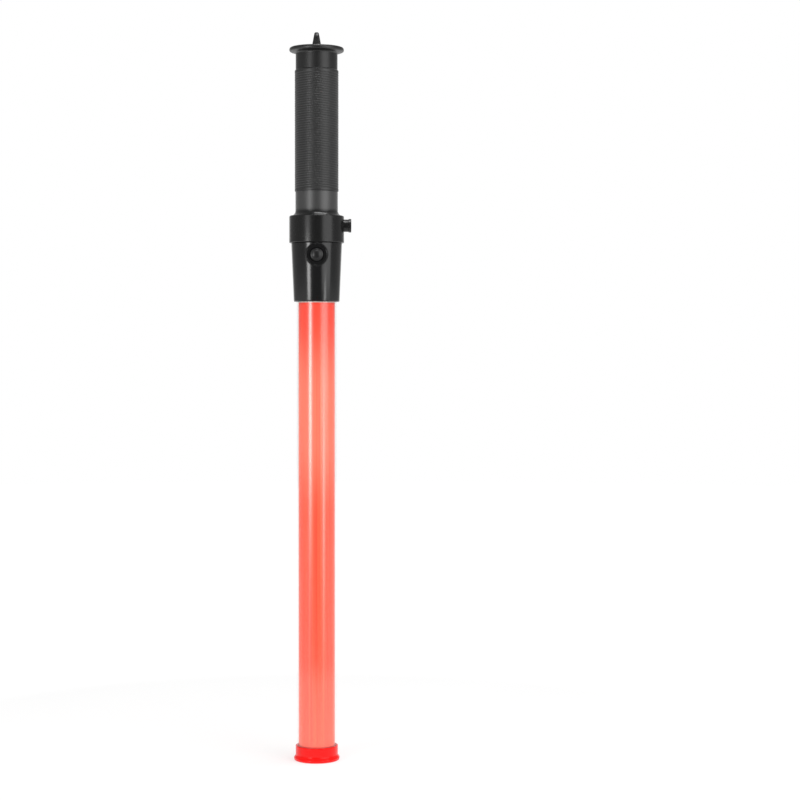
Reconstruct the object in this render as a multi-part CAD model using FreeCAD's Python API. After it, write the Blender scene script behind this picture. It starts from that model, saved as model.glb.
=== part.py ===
"""Battery traffic wand: black two-cell handle, screw-on switch head, long red light tube and tip cap.

Units are millimetres. Z runs along the wand, from the tip (z = 0) up to the lanyard eye.
The push button faces -Y and the magnet stud faces +X.
"""
import FreeCAD, Part

import math
import os

V = FreeCAD.Vector
ORIGIN = V(0, 0, 0)
X_AXIS = V(1, 0, 0)
Y_AXIS = V(0, 1, 0)
Z_AXIS = V(0, 0, 1)

# ---------------------------------------------------------------- driving sizes
# Heights along the wand
CAP_HEIGHT = 10.8
CAP_FLOOR = 2.0
CAP_LIP_HEIGHT = 2.0
TUBE_IN_VIEW = 330.1          # light tube between the tip cap and the head's mouth
HEAD_LENGTH = 43.4
COLLAR_HEIGHT = 20.1
NECK_LENGTH = 17.8
PLAIN_LENGTH = 13.1           # smooth grip between the ribs and the end flange
FLANGE_THICKNESS = 4.0
EYE_HEIGHT = 11.5             # lanyard eye above the end flange

# Battery cells (size C)
CELL_RADIUS = 13.0
CELL_LENGTH = 50.0
CELL_COUNT = 2
NUB_RADIUS = 3.3
NUB_HEIGHT = 2.0
CAN_EDGE = 0.6
CRIMP_DEPTH = 0.4
CRIMP_INSET = 2.0             # crimped groove inside the can's rounded edge

# Walls
HANDLE_WALL = 1.3
NECK_STEP = 0.95              # bare neck over the tube that the grip slides on
SLEEVE_WALL = 0.65
RIB_HEIGHT = 0.75
RIB_PITCH = 1.75
GROOVE_DEPTH = 0.5
CREST_SHARE = 0.45            # flat crest's share of the rib pitch
GRIP_CHAMFER = 0.2
FLANGE_FILLET = 1.2
FLANGE_OVERHANG = 4.8          # rim beyond the plain grip
FLANGE_SLOPE = 1.2            # rise of the flange's underside towards its rim
FLARE_OUT = 2.4
FLARE_HEIGHT = 4.0
CAP_LIP_RADIUS = 17.15
CAP_WALL = 0.85
CAP_EDGE = 0.6                # rounding of the foot lip
CAP_RIM_CHAMFER = 0.2
TUBE_RADIUS = 14.9
TUBE_WALL = 1.3
LINER_WALL = 0.8
LINER_FLUTES = 72
FLUTE_DEPTH = 0.35
MOUTH_WALL = 2.0
MOUTH_EDGE = 1.2              # rounding of the head's lower end
SHOULDER_CHAMFER = 0.3
LEDGE_THICKNESS = 2.0
REFLECTOR_SHOW = 0.6          # reflector's rim in view below the head's mouth
REFLECTOR_WALL = 0.8
REFLECTOR_PLATE = 2.0
MIRROR_THICKNESS = 0.8
SEAM_STEP = 1.5               # collar standing proud of the head below it
BAY_MARGIN = 0.65              # lamp bay wider than the handle's tube
NECK_WALL = 1.95
COLLAR_WALL = 1.65
COLLAR_EDGE = 1.3             # rounding of the collar's top corner
COLLAR_CHAMFER = 0.35
COLLAR_ROOF = 3.0             # plastic between the collar's cavity and its top face

# Screw thread between the head and the collar
THREAD_PITCH = 4.0
THREAD_DEPTH = 1.1
THREAD_ROOT_WIDTH = 1.9
THREAD_CREST_WIDTH = 1.2
THREAD_SINK = 0.3             # root of a ridge sunk into its wall

# Push button
BOSS_RADIUS = 8.65
BOSS_RIM = 0.85
BOSS_TO_SEAM = 0.35
BOSS_PROUD = 1.2              # button boss in front of the head's wall
RECESS_DEPTH = 2.9
BUTTON_RADIUS = 4.8
BUTTON_DOME = 1.4
BUTTON_INSET = 0.2            # dome's top behind the boss's face
BUTTON_FLANGE = 1.4           # flange's width round the stem
BUTTON_FLANGE_THICKNESS = 1.0
BUTTON_TRAVEL = 1.2
WEB_THICKNESS = 1.4
SWITCH_SIZE = 8.4
SWITCH_DEPTH = 8.0
PLUNGER_SIZE = 3.2
PLUNGER_REACH = 3.0           # plunger inside the switch at rest

# Magnet stud
MAGNET_RADIUS = 4.0
MAGNET_THICKNESS = 3.0
STUD_WALL = 0.6
STUD_LIP = 0.4
STUD_LIP_HEIGHT = 2.0
STUD_PROUD = 5.3
STUD_HEIGHT_IN_COLLAR = 12.9  # stud axis above the collar's lower edge

# Lanyard eye
EYE_HOLE_RADIUS = 3.0
EYE_RING = 2.0
EYE_FOOT_THICKNESS = 7.1
EYE_TOP_THICKNESS = 3.6
EYE_CROWN = 0.5               # crown of the wedge above the ring, which trims it
EYE_SPREAD = 1.6              # foot wider than the ring on each side

# Electrical pieces
BOARD_THICKNESS = 1.6
SWITCH_BOARD_THICKNESS = 1.2
SWITCH_BOARD_RISE = 10.0      # switch board's top above the button's axis
BOARD_UNDER_BUTTON = 3.5      # lamp board below the button's pocket
RAIL_DEPTH = 2.4
RAIL_THICKNESS = 1.0
DISC_THICKNESS = 1.4
RING_THICKNESS = 0.4
RING_WIDTH = 3.5
RING_INSET = 1.35             # brass ring inside the neck's outer wall
DISC_BORDER = 0.1
PLATE_THICKNESS = 0.8
STRIP_WIDTH = 4.6
STRIP_THICKNESS = 0.4
RIVET_HEAD = 1.0
RIVET_RADIUS = 3.2
RIVET_TAIL = 2.0
RIVET_SHANK = 1.25
RIVET_EDGE = 0.3
RIVET_TAIL_LENGTH = 0.9
SPRING_WIRE = 0.55            # radius of the tail spring's wire
SPRING_LENGTH = 14.0
SPRING_TURNS = 4
SPRING_WIDE = 9.0
SPRING_NARROW = 5.0
PLUG_LENGTH = 5.7
PLUG_HEAD = 2.4
FLANGE_OVER_TAIL = 2.6        # flange's underside above the handle's tail
LED_COUNT = 6
LED_RADIUS = 2.5
LED_LENGTH = 8.6
LED_FLANGE = 0.4
LED_FLANGE_HEIGHT = 1.0
LED_CIRCLE = 7.0
LEAD_RADIUS = 0.5
LEAD_BEND_SHARE = 0.45        # of the shorter run that a bend takes
POSITIVE_LEAD_SIDE = 3.5      # positive lead's end beside the button's line
NEGATIVE_LEAD_FROM_WALL = 3.8
NEGATIVE_LEAD_SIDE = 6.5
CHIP_PLACE = 5.0              # chip's centre behind the wand's axis
CHIP_LENGTH = 5.0
CHIP_WIDTH = 4.0
CHIP_RISE = 0.2               # chip's body above the board
CHIP_TOP = 1.7
LEG_PITCH = 1.27
LEG_WIDTH = 0.4
LEG_THICKNESS = 0.5
LEG_OUTER = 3.0               # legs' ends from the chip's centre line
LEGS_PER_SIDE = 4
RESISTOR_WIDTH = 1.6
RESISTOR_LENGTH = 3.2
RESISTOR_HEIGHT = 0.6
RESISTOR_PITCH = 4.0
RESISTOR_PLACE = 10.8         # resistors' centres behind the wand's axis
RESISTOR_COUNT = 3
SCREW_RADIUS = 0.9
SCREW_HEAD_RADIUS = 1.9
SCREW_HEAD_HEIGHT = 1.1
SLOT_WIDTH = 0.4              # driver slot
SLOT_DEPTH = 0.4
DISC_SCREW_LENGTH = 6.0
LUG_RADIUS = 2.3
LUG_LENGTH = 7.5
SEAL_GROOVE_LOW = 1.0
SEAL_GROOVE_WIDTH = 2.2
SEAL_GROOVE_DEPTH = 0.5
THREAD_END_GAP = 0.4          # plain neck between the seal's groove and the thread
THREAD_TOP_GAP = 1.4
BOARD_SCREW_COUNT = 3
BOARD_SCREW_TURN = 30.0       # degrees from +X to the first board screw

# Clearances
SLIP = 0.05                   # pushed together by hand
LOOSE = 0.2                   # free to move
CELL_CLEARANCE = 0.45
SEAM_GAP = 0.2
THREAD_CLEARANCE = 0.2
SEAL_CLEARANCE = 0.04
SEAL_PLAY = 0.02
SCREW_PLAY = 0.1
NECK_END_GAP = 1.0
SWITCH_GAP = 0.6              # left between the switch and the pressed button

# ---------------------------------------------------------------- heights worked out
mouth_z = CAP_HEIGHT + TUBE_IN_VIEW
shoulder_z = mouth_z + HEAD_LENGTH
collar_z = shoulder_z + SEAM_GAP
collar_top_z = collar_z + COLLAR_HEIGHT
grip_z = collar_top_z + NECK_LENGTH
ceiling_z = collar_top_z - COLLAR_ROOF
neck_top_z = ceiling_z - NECK_END_GAP
disc_z = neck_top_z - LOOSE - DISC_THICKNESS
ring_z = disc_z + DISC_THICKNESS
cells_z = ring_z + RIVET_HEAD
cells_top_z = cells_z + CELL_COUNT * CELL_LENGTH
plate_z = cells_top_z + SPRING_LENGTH
plug_z = plate_z + PLATE_THICKNESS
tail_z = plug_z + PLUG_LENGTH
plug_head_z = tail_z + PLUG_HEAD
flange_z = tail_z + FLANGE_OVER_TAIL
flange_top_z = flange_z + FLANGE_THICKNESS
rib_top_z = flange_z - PLAIN_LENGTH
eye_top_z = flange_top_z + EYE_HEIGHT
eye_z = eye_top_z - EYE_RING - EYE_HOLE_RADIUS
button_z = shoulder_z - BOSS_RADIUS - BOSS_TO_SEAM
board_top_z = button_z - BUTTON_RADIUS - BUTTON_FLANGE - LOOSE - BOARD_UNDER_BUTTON
ledge_top_z = board_top_z - BOARD_THICKNESS
tube_top_z = ledge_top_z - LEDGE_THICKNESS
tube_bottom_z = CAP_FLOOR + LOOSE
liner_z = tube_bottom_z + MIRROR_THICKNESS
liner_top_z = mouth_z - REFLECTOR_SHOW
switch_board_top_z = button_z + SWITCH_BOARD_RISE
stud_z = collar_z + STUD_HEIGHT_IN_COLLAR
groove_z = shoulder_z + SEAL_GROOVE_LOW
groove_top_z = groove_z + SEAL_GROOVE_WIDTH

# The thread takes the whole quarter turns that fit between the seal's groove and the neck's top
thread_z = groove_top_z + THREAD_END_GAP + THREAD_ROOT_WIDTH / 2
thread_turns = math.floor((neck_top_z - THREAD_TOP_GAP - thread_z) / THREAD_PITCH * 4) / 4

# ---------------------------------------------------------------- radii worked out
cell_bore = CELL_RADIUS + CELL_CLEARANCE
strip_front = CELL_RADIUS + CELL_CLEARANCE + SLIP
strip_back = strip_front + STRIP_THICKNESS
handle_radius = cell_bore + HANDLE_WALL
neck_radius = handle_radius + NECK_STEP
flare_radius = neck_radius + FLARE_OUT
sleeve_bore = handle_radius + SLIP
sleeve_radius = sleeve_bore + SLEEVE_WALL
rib_radius = sleeve_radius + RIB_HEIGHT
flange_radius = sleeve_radius + FLANGE_OVERHANG
tube_bore = TUBE_RADIUS - TUBE_WALL
tube_socket = TUBE_RADIUS + SLIP
liner_radius = tube_bore - LOOSE
bay_radius = handle_radius + BAY_MARGIN
root_radius = bay_radius + NECK_WALL
groove_floor = root_radius - SEAL_GROOVE_DEPTH
crest_radius = root_radius + THREAD_DEPTH
collar_bore = crest_radius + THREAD_CLEARANCE
collar_crest = root_radius + THREAD_CLEARANCE
collar_radius = collar_bore + COLLAR_WALL
stud_face = collar_radius + STUD_PROUD
head_radius = collar_radius - SEAM_STEP
mouth_radius = tube_socket + MOUTH_WALL
ring_outer = root_radius - RING_INSET
ring_inner = ring_outer - RING_WIDTH
disc_radius = ring_outer + DISC_BORDER
counterbore = disc_radius + SCREW_PLAY
disc_screw_circle = (ring_outer + ring_inner) / 2
board_radius = bay_radius - LOOSE
board_screw_circle = board_radius - SCREW_HEAD_RADIUS - LOOSE
ledge_bore = LED_CIRCLE + LED_RADIUS + LED_FLANGE + LOOSE

# Distances in front of the wand's axis, along the button's line
boss_face = head_radius + BOSS_PROUD
recess_floor = boss_face - RECESS_DEPTH
pocket_floor = recess_floor - WEB_THICKNESS
flange_front = pocket_floor - LOOSE
flange_back = flange_front - BUTTON_FLANGE_THICKNESS
switch_front = flange_back - BUTTON_TRAVEL - SWITCH_GAP
board_front = switch_front - SWITCH_DEPTH
board_back = board_front - SWITCH_BOARD_THICKNESS


# ---------------------------------------------------------------- shape helpers
def turned(start, *steps):
    """Solid of revolution about Z: corners are (radius, z); an (arc middle, arc end) pair is an arc."""
    edges = []
    last = V(start[0], 0, start[1])
    for step in (*steps, start):
        if isinstance(step[0], tuple):
            middle, end = (V(r, 0, z) for r, z in step)
            edges.append(Part.Arc(last, middle, end).toShape())
        else:
            end = V(step[0], 0, step[1])
            edges.append(Part.LineSegment(last, end).toShape())
        last = end
    return Part.Face(Part.Wire(edges)).revolve(ORIGIN, Z_AXIS, 360)


def arc(centre, radius, start_degrees, end_degrees):
    """An arc step for turned(), as the middle and end points of a turn about a centre."""
    def point(degrees):
        turn = math.radians(degrees)
        return centre[0] + radius * math.cos(turn), centre[1] + radius * math.sin(turn)
    return point((start_degrees + end_degrees) / 2), point(end_degrees)


def disc(radius, z_low, z_high, x=0.0, y=0.0):
    """Upright cylinder."""
    return Part.makeCylinder(radius, z_high - z_low, V(x, y, z_low))


def block(x_low, x_high, y_low, y_high, z_low, z_high):
    return Part.makeBox(x_high - x_low, y_high - y_low, z_high - z_low, V(x_low, y_low, z_low))


def facing_front(radius, depth_from, depth_to, z=button_z):
    """Cylinder along the button's axis, between two distances in front of the wand's axis."""
    return Part.makeCylinder(radius, depth_from - depth_to, V(0, -depth_from, z), Y_AXIS)


def facing_side(radius, x_low, x_high):
    """Cylinder along the magnet stud's axis."""
    return Part.makeCylinder(radius, x_high - x_low, V(x_low, 0, stud_z), X_AXIS)


def round_the_axis(shape, count, start=0.0):
    """Copies of a shape, evenly spaced about Z."""
    copies = []
    for index in range(count):
        copy = shape.copy()
        copy.rotate(ORIGIN, Z_AXIS, start + 360.0 * index / count)
        copies.append(copy)
    return copies


def thread_ridge(wall_radius, crest, start_degrees):
    """One helical ridge standing on a wall, with its root sunk THREAD_SINK into it."""
    outward = 1 if crest > wall_radius else -1
    root = wall_radius - outward * THREAD_SINK
    outline = [
        V(root, 0, -THREAD_ROOT_WIDTH / 2),
        V(crest, 0, -THREAD_CREST_WIDTH / 2),
        V(crest, 0, THREAD_CREST_WIDTH / 2),
        V(root, 0, THREAD_ROOT_WIDTH / 2),
    ]
    profile = Part.makePolygon(outline + outline[:1])
    helix = Part.Wire(Part.makeHelix(THREAD_PITCH, THREAD_PITCH * thread_turns, wall_radius))
    ridge = helix.makePipeShell([profile], True, True)
    ridge.rotate(ORIGIN, Z_AXIS, start_degrees)
    ridge.translate(V(0, 0, thread_z))
    return ridge


def wire_along(points, radius):
    """Round lead along straight runs joined by tangent arcs, each as large as its two runs allow."""
    edges = []
    last = points[0]
    for before, corner, after in zip(points, points[1:], points[2:]):
        arrive = corner - before
        leave = after - corner
        setback = LEAD_BEND_SHARE * min(arrive.Length, leave.Length)
        half_turn = arrive.getAngle(leave) / 2
        bend = setback / math.tan(half_turn)
        start = corner - arrive.normalize() * setback
        end = corner + leave.normalize() * setback
        middle = corner + (leave - arrive).normalize() * (bend / math.cos(half_turn) - bend)
        print("lead bend radius", round(bend, 1))
        edges.append(Part.LineSegment(last, start).toShape())
        edges.append(Part.Arc(start, middle, end).toShape())
        last = end
    edges.append(Part.LineSegment(last, points[-1]).toShape())
    section = Part.Wire(Part.makeCircle(radius, points[0], points[1] - points[0]))
    return Part.Wire(edges).makePipeShell([section], True, False)


def screw(x, y, head_z, length, countersunk):
    """Small self-tapping screw with its head's top at head_z, pointing down."""
    shank = disc(SCREW_RADIUS, head_z - length, head_z, x, y)
    if countersunk:
        height = SCREW_HEAD_RADIUS - SCREW_RADIUS
        head = Part.makeCone(SCREW_RADIUS, SCREW_HEAD_RADIUS, height, V(x, y, head_z - height))
    else:
        head = disc(SCREW_HEAD_RADIUS, head_z - SCREW_HEAD_HEIGHT, head_z, x, y)
    half = SLOT_WIDTH / 2
    slot = block(x - SCREW_HEAD_RADIUS, x + SCREW_HEAD_RADIUS, y - half, y + half, head_z - SLOT_DEPTH, head_z)
    return shank.fuse(head).cut(slot).removeSplitter()


# ---------------------------------------------------------------- tip and light tube
def tip_cap():
    """Red cap pushed over the tube's end, with a wider foot lip that the wand stands on."""
    body_radius = tube_socket + CAP_WALL
    step = CAP_LIP_RADIUS - body_radius
    return turned(
        (0, 0),
        (CAP_LIP_RADIUS - CAP_EDGE, 0),
        arc((CAP_LIP_RADIUS - CAP_EDGE, CAP_EDGE), CAP_EDGE, -90, 0),
        (CAP_LIP_RADIUS, CAP_LIP_HEIGHT - CAP_EDGE),
        arc((CAP_LIP_RADIUS - CAP_EDGE, CAP_LIP_HEIGHT - CAP_EDGE), CAP_EDGE, 0, 60),
        (body_radius, CAP_LIP_HEIGHT + step),
        (body_radius, CAP_HEIGHT - CAP_RIM_CHAMFER),
        (body_radius - CAP_RIM_CHAMFER, CAP_HEIGHT),
        (tube_socket, CAP_HEIGHT),
        (tube_socket, CAP_FLOOR),
        (0, CAP_FLOOR),
    )


def tip_reflector():
    """Mirror disc on the cap's floor that sends light back up the tube."""
    return disc(liner_radius, tube_bottom_z, liner_z)


def light_tube():
    """Clear outer tube, from the cap's floor into the head's socket."""
    outer = disc(TUBE_RADIUS, tube_bottom_z, tube_top_z)
    return outer.cut(disc(tube_bore, tube_bottom_z, tube_top_z))


def lengthwise(*radii):
    """Prism as long as the liner, with two corners a flute at each of the radii in turn."""
    corners = []
    for index in range(2 * LINER_FLUTES):
        radius = radii[index % len(radii)]
        turn = math.pi * index / LINER_FLUTES
        corners.append(V(radius * math.cos(turn), radius * math.sin(turn), liner_z))
    return Part.Face(Part.makePolygon(corners + corners[:1])).extrude(V(0, 0, liner_top_z - liner_z))


def diffuser_liner():
    """Red liner inside the tube: fine lengthwise flats outside, and flutes along its inner face."""
    peak = liner_radius - LINER_WALL
    return lengthwise(liner_radius).cut(lengthwise(peak, peak + FLUTE_DEPTH))


def reflector_cup():
    """White cup round the lamps, butting on the liner, with a hole for each lamp."""
    high = tube_top_z - LOOSE
    floor = high - REFLECTOR_PLATE
    throat = min(ledge_bore, liner_radius - REFLECTOR_WALL)
    cup = turned(
        (0, floor),
        (throat, floor),
        (liner_radius - REFLECTOR_WALL, liner_top_z),
        (liner_radius, liner_top_z),
        (liner_radius, high),
        (0, high),
    )
    hole = disc(LED_RADIUS + SCREW_PLAY, floor, high, LED_CIRCLE, 0)
    return cup.cut(round_the_axis(hole, LED_COUNT))


# ---------------------------------------------------------------- head
def board_rails():
    """Two slotted rails in the head's bay that hold the switch board upright."""
    low = board_top_z + LOOSE
    outer = bay_radius + SCREW_PLAY
    keep = disc(outer, low, shoulder_z)
    rails = []
    for side in (1, -1):
        x_low, x_high = sorted((side * (bay_radius - RAIL_DEPTH), side * outer))
        for y in (-board_front - SCREW_PLAY - RAIL_THICKNESS, -board_back + SCREW_PLAY):
            rail = block(x_low, x_high, y, y + RAIL_THICKNESS, low, shoulder_z)
            rails.append(rail.common(keep))
    return rails


def head_shell():
    """Tapered head: tube socket below, lamp bay inside, button boss in front, threaded neck above."""
    body = turned(
        (tube_socket, mouth_z),
        (mouth_radius - MOUTH_EDGE, mouth_z),
        arc((mouth_radius - MOUTH_EDGE, mouth_z + MOUTH_EDGE), MOUTH_EDGE, -90, 0),
        (head_radius, shoulder_z - SHOULDER_CHAMFER),
        (head_radius - SHOULDER_CHAMFER, shoulder_z),
        (root_radius, shoulder_z),
        (root_radius, groove_z),
        (groove_floor, groove_z),
        (groove_floor, groove_top_z),
        (root_radius, groove_top_z),
        (root_radius, neck_top_z),
        (counterbore, neck_top_z),
        (counterbore, disc_z),
        (bay_radius, disc_z),
        (bay_radius, ledge_top_z),
        (ledge_bore, ledge_top_z),
        (ledge_bore, tube_top_z),
        (tube_socket, tube_top_z),
    )
    inside = pocket_floor / 2
    boss = facing_front(BOSS_RADIUS, boss_face, inside)
    boss = boss.makeFillet(BOSS_RIM / 3, [line for line in boss.Edges if line.BoundBox.YMax < -inside - 1])
    boss = boss.cut(disc(bay_radius, mouth_z, neck_top_z))
    recess = facing_front(BOSS_RADIUS - BOSS_RIM, boss_face + 1, recess_floor)
    passage = facing_front(BUTTON_RADIUS + LOOSE, boss_face, inside)
    pocket = facing_front(BUTTON_RADIUS + BUTTON_FLANGE + LOOSE, pocket_floor, inside)
    lug = disc(LUG_RADIUS, disc_z - LUG_LENGTH, disc_z, disc_screw_circle)
    lug = lug.common(disc(bay_radius + SCREW_PLAY, disc_z - LUG_LENGTH, disc_z))
    lugs = round_the_axis(lug, 2)
    pilot = disc(SCREW_RADIUS, ring_z + RING_THICKNESS - DISC_SCREW_LENGTH, disc_z, disc_screw_circle)
    pilots = round_the_axis(pilot, 2)
    board_pilot = disc(SCREW_RADIUS, tube_top_z, ledge_top_z, board_screw_circle)
    board_pilots = round_the_axis(board_pilot, BOARD_SCREW_COUNT, BOARD_SCREW_TURN)
    shell = body.fuse([boss, *lugs, *board_rails(), thread_ridge(root_radius, crest_radius, 0)])
    return shell.cut([recess, passage, pocket, *pilots, *board_pilots])


def lamp_board():
    """Round circuit board on the head's ledge that carries the lamps."""
    board = disc(board_radius, ledge_top_z, board_top_z)
    hole = disc(SCREW_RADIUS + SCREW_PLAY, ledge_top_z, board_top_z, board_screw_circle)
    return board.cut(round_the_axis(hole, BOARD_SCREW_COUNT, BOARD_SCREW_TURN))


def board_screw():
    """Screws through the lamp board into the ledge."""
    length = SCREW_HEAD_HEIGHT + BOARD_THICKNESS + LEDGE_THICKNESS - LOOSE
    one = screw(board_screw_circle, 0, board_top_z + SCREW_HEAD_HEIGHT, length, countersunk=False)
    return round_the_axis(one, BOARD_SCREW_COUNT, BOARD_SCREW_TURN)


def lamp():
    """Round-nosed red lamps hanging from the lamp board, one in each hole of the reflector."""
    tip = ledge_top_z - LED_LENGTH
    centre = tip + LED_RADIUS
    one = turned(
        (0, tip),
        arc((0, centre), LED_RADIUS, -90, 0),
        (LED_RADIUS, ledge_top_z - LED_FLANGE_HEIGHT),
        (LED_RADIUS + LED_FLANGE, ledge_top_z - LED_FLANGE_HEIGHT),
        (LED_RADIUS + LED_FLANGE, ledge_top_z),
        (0, ledge_top_z),
    )
    one.translate(V(LED_CIRCLE, 0, 0))
    return round_the_axis(one, LED_COUNT)


def driver_chip():
    """Flasher chip on the lamp board's upper face, with its legs in two rows."""
    half_length = CHIP_LENGTH / 2
    half_width = CHIP_WIDTH / 2
    near, far = CHIP_PLACE - half_width, CHIP_PLACE + half_width
    body = block(-half_length, half_length, near, far, board_top_z + CHIP_RISE, board_top_z + CHIP_TOP)
    legs = []
    for side in (1, -1):
        inner = CHIP_PLACE + side * (half_width - SCREW_PLAY)
        y_low, y_high = sorted((inner, CHIP_PLACE + side * LEG_OUTER))
        for index in range(LEGS_PER_SIDE):
            x = LEG_PITCH * (index - (LEGS_PER_SIDE - 1) / 2)
            half = LEG_WIDTH / 2
            legs.append(block(x - half, x + half, y_low, y_high, board_top_z, board_top_z + LEG_THICKNESS))
    return body.fuse(legs)


def resistor():
    """Chip resistors in a row beside the flasher chip."""
    half = RESISTOR_WIDTH / 2
    near, far = RESISTOR_PLACE - RESISTOR_LENGTH / 2, RESISTOR_PLACE + RESISTOR_LENGTH / 2
    places = [RESISTOR_PITCH * (index - (RESISTOR_COUNT - 1) / 2) for index in range(RESISTOR_COUNT)]
    return [block(x - half, x + half, near, far, board_top_z, board_top_z + RESISTOR_HEIGHT) for x in places]


def switch_board():
    """Upright board behind the switch, standing on the lamp board between the rails."""
    half_width = math.sqrt(bay_radius ** 2 - board_front ** 2) - LOOSE
    low = board_top_z + SLIP
    return block(-half_width, half_width, -board_front, -board_back, low, switch_board_top_z)


def switch_body():
    """Push switch behind the button, open in front for its plunger."""
    half = SWITCH_SIZE / 2
    body = block(-half, half, -switch_front, -board_front, button_z - half, button_z + half)
    hole = PLUNGER_SIZE / 2 + SCREW_PLAY
    back = switch_front - PLUNGER_REACH - BUTTON_TRAVEL - LOOSE
    return body.cut(block(-hole, hole, -switch_front, -back, button_z - hole, button_z + hole))


def switch_plunger():
    """Square plunger between the button's back and the switch."""
    half = PLUNGER_SIZE / 2
    return block(-half, half, -flange_back, PLUNGER_REACH - switch_front, button_z - half, button_z + half)


def push_button():
    """Domed rubber button with a flange behind the recess's web."""
    front = boss_face - BUTTON_INSET
    sphere_radius = (BUTTON_RADIUS ** 2 + BUTTON_DOME ** 2) / (2 * BUTTON_DOME)
    ball = Part.makeSphere(sphere_radius, V(0, sphere_radius - front, button_z))
    dome = facing_front(BUTTON_RADIUS, front + 1, front - BUTTON_DOME).common(ball)
    stem = facing_front(BUTTON_RADIUS, front - BUTTON_DOME, flange_back)
    flange = facing_front(BUTTON_RADIUS + BUTTON_FLANGE, flange_front, flange_back)
    return stem.fuse([dome, flange]).removeSplitter()


def countersink(allowance):
    """Cone that clears one of the disc screws' heads."""
    height = SCREW_HEAD_RADIUS - SCREW_RADIUS
    low = V(disc_screw_circle, 0, ring_z + RING_THICKNESS - height)
    return Part.makeCone(SCREW_RADIUS + allowance, SCREW_HEAD_RADIUS + allowance, height, low)


def disc_screw_holes():
    """Clearance for the two disc screws, through the brass ring and the disc."""
    hole = disc(SCREW_RADIUS + SCREW_PLAY, disc_z, ring_z + RING_THICKNESS, disc_screw_circle)
    return round_the_axis(hole.fuse(countersink(SCREW_PLAY)), 2)


def terminal_disc():
    """Insulating disc that closes the head's neck."""
    plate = disc(disc_radius, disc_z, ring_z)
    return plate.cut([disc(RIVET_SHANK, disc_z, ring_z), *disc_screw_holes()])


def negative_ring():
    """Brass ring on the terminal disc that the handle's strip rubs on as the head turns."""
    top = ring_z + RING_THICKNESS
    ring = disc(ring_outer, ring_z, top).cut(disc(ring_inner, ring_z, top))
    return ring.cut(disc_screw_holes())


def disc_screw():
    """Two countersunk screws through the ring and disc into the neck's lugs."""
    top = ring_z + RING_THICKNESS
    one = screw(disc_screw_circle, 0, top, DISC_SCREW_LENGTH, countersunk=True)
    return round_the_axis(one, 2)


def positive_contact():
    """Brass rivet through the disc's centre that the front cell's nub sits on."""
    tail_end_z = disc_z - RIVET_TAIL_LENGTH
    return turned(
        (0, tail_end_z),
        (RIVET_TAIL, tail_end_z),
        (RIVET_TAIL, disc_z),
        (RIVET_SHANK, disc_z),
        (RIVET_SHANK, ring_z),
        (RIVET_RADIUS, ring_z),
        (RIVET_RADIUS, cells_z - RIVET_EDGE),
        arc((RIVET_RADIUS - RIVET_EDGE, cells_z - RIVET_EDGE), RIVET_EDGE, 0, 90),
        (0, cells_z),
    )


def positive_lead():
    """Insulated lead from the rivet's tail down to the switch board's top edge."""
    start_z = disc_z - RIVET_TAIL_LENGTH
    drop = start_z - switch_board_top_z
    board_y = -(board_front + board_back) / 2
    return wire_along([
        V(0, 0, start_z),
        V(0, 0, start_z - drop * 0.33),
        V(POSITIVE_LEAD_SIDE, board_y, switch_board_top_z + drop * 0.31),
        V(POSITIVE_LEAD_SIDE, board_y, switch_board_top_z),
    ], LEAD_RADIUS)


def negative_lead():
    """Insulated lead from the terminal disc down to the lamp board, along the bay's wall."""
    wall_y = bay_radius - NEGATIVE_LEAD_FROM_WALL
    drop = disc_z - board_top_z
    return wire_along([
        V(0, wall_y, disc_z),
        V(0, wall_y, disc_z - drop * 0.2),
        V(-NEGATIVE_LEAD_SIDE / 2, wall_y + 1.0, disc_z - drop * 0.56),
        V(-NEGATIVE_LEAD_SIDE, wall_y - 1.0, disc_z - drop * 0.82),
        V(-NEGATIVE_LEAD_SIDE, wall_y - 1.0, board_top_z),
    ], LEAD_RADIUS)


def seal_ring():
    """Rubber ring in the head's groove, squeezed against the collar's bore."""
    inner = groove_floor + SEAL_PLAY
    outer = collar_bore - SEAL_CLEARANCE
    height = (groove_z + groove_top_z) / 2
    return Part.makeTorus((outer + inner) / 2, (outer - inner) / 2, V(0, 0, height))


# ---------------------------------------------------------------- handle
def handle_shell():
    """Cell tube, bare neck and threaded collar in one moulding, with the magnet stud on the collar."""
    sweep = (FLARE_OUT ** 2 + FLARE_HEIGHT ** 2) / (2 * FLARE_OUT)
    reach = math.degrees(math.asin(FLARE_HEIGHT / sweep))
    flare_top_z = collar_top_z + FLARE_HEIGHT
    body = turned(
        (collar_bore, collar_z),
        (collar_radius - COLLAR_CHAMFER, collar_z),
        (collar_radius, collar_z + COLLAR_CHAMFER),
        (collar_radius, collar_top_z - COLLAR_EDGE),
        arc((collar_radius - COLLAR_EDGE, collar_top_z - COLLAR_EDGE), COLLAR_EDGE, 0, 90),
        (flare_radius, collar_top_z),
        arc((neck_radius + sweep, flare_top_z), sweep, 180 + reach, 180),
        (neck_radius, grip_z),
        (handle_radius, grip_z),
        (handle_radius, tail_z),
        (cell_bore, tail_z),
        (cell_bore, ceiling_z),
        (collar_bore, ceiling_z),
    )
    stud_radius = MAGNET_RADIUS + STUD_WALL
    stud = facing_side(stud_radius, collar_bore + THREAD_SINK, stud_face)
    lip = facing_side(stud_radius + STUD_LIP, stud_face - STUD_LIP_HEIGHT, stud_face)
    pocket = facing_side(MAGNET_RADIUS + SLIP, stud_face - MAGNET_THICKNESS, stud_face + 1)
    half = STRIP_WIDTH / 2 + LOOSE
    groove = block(-half, half, 0, strip_back + SLIP, ceiling_z - 1, tail_z)
    ridge = thread_ridge(collar_bore, collar_crest, 180)
    return body.fuse([stud, lip, ridge]).cut([pocket, groove])


def magnet():
    """Round magnet flush with the stud's end."""
    return facing_side(MAGNET_RADIUS, stud_face - MAGNET_THICKNESS + SLIP, stud_face)


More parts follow.
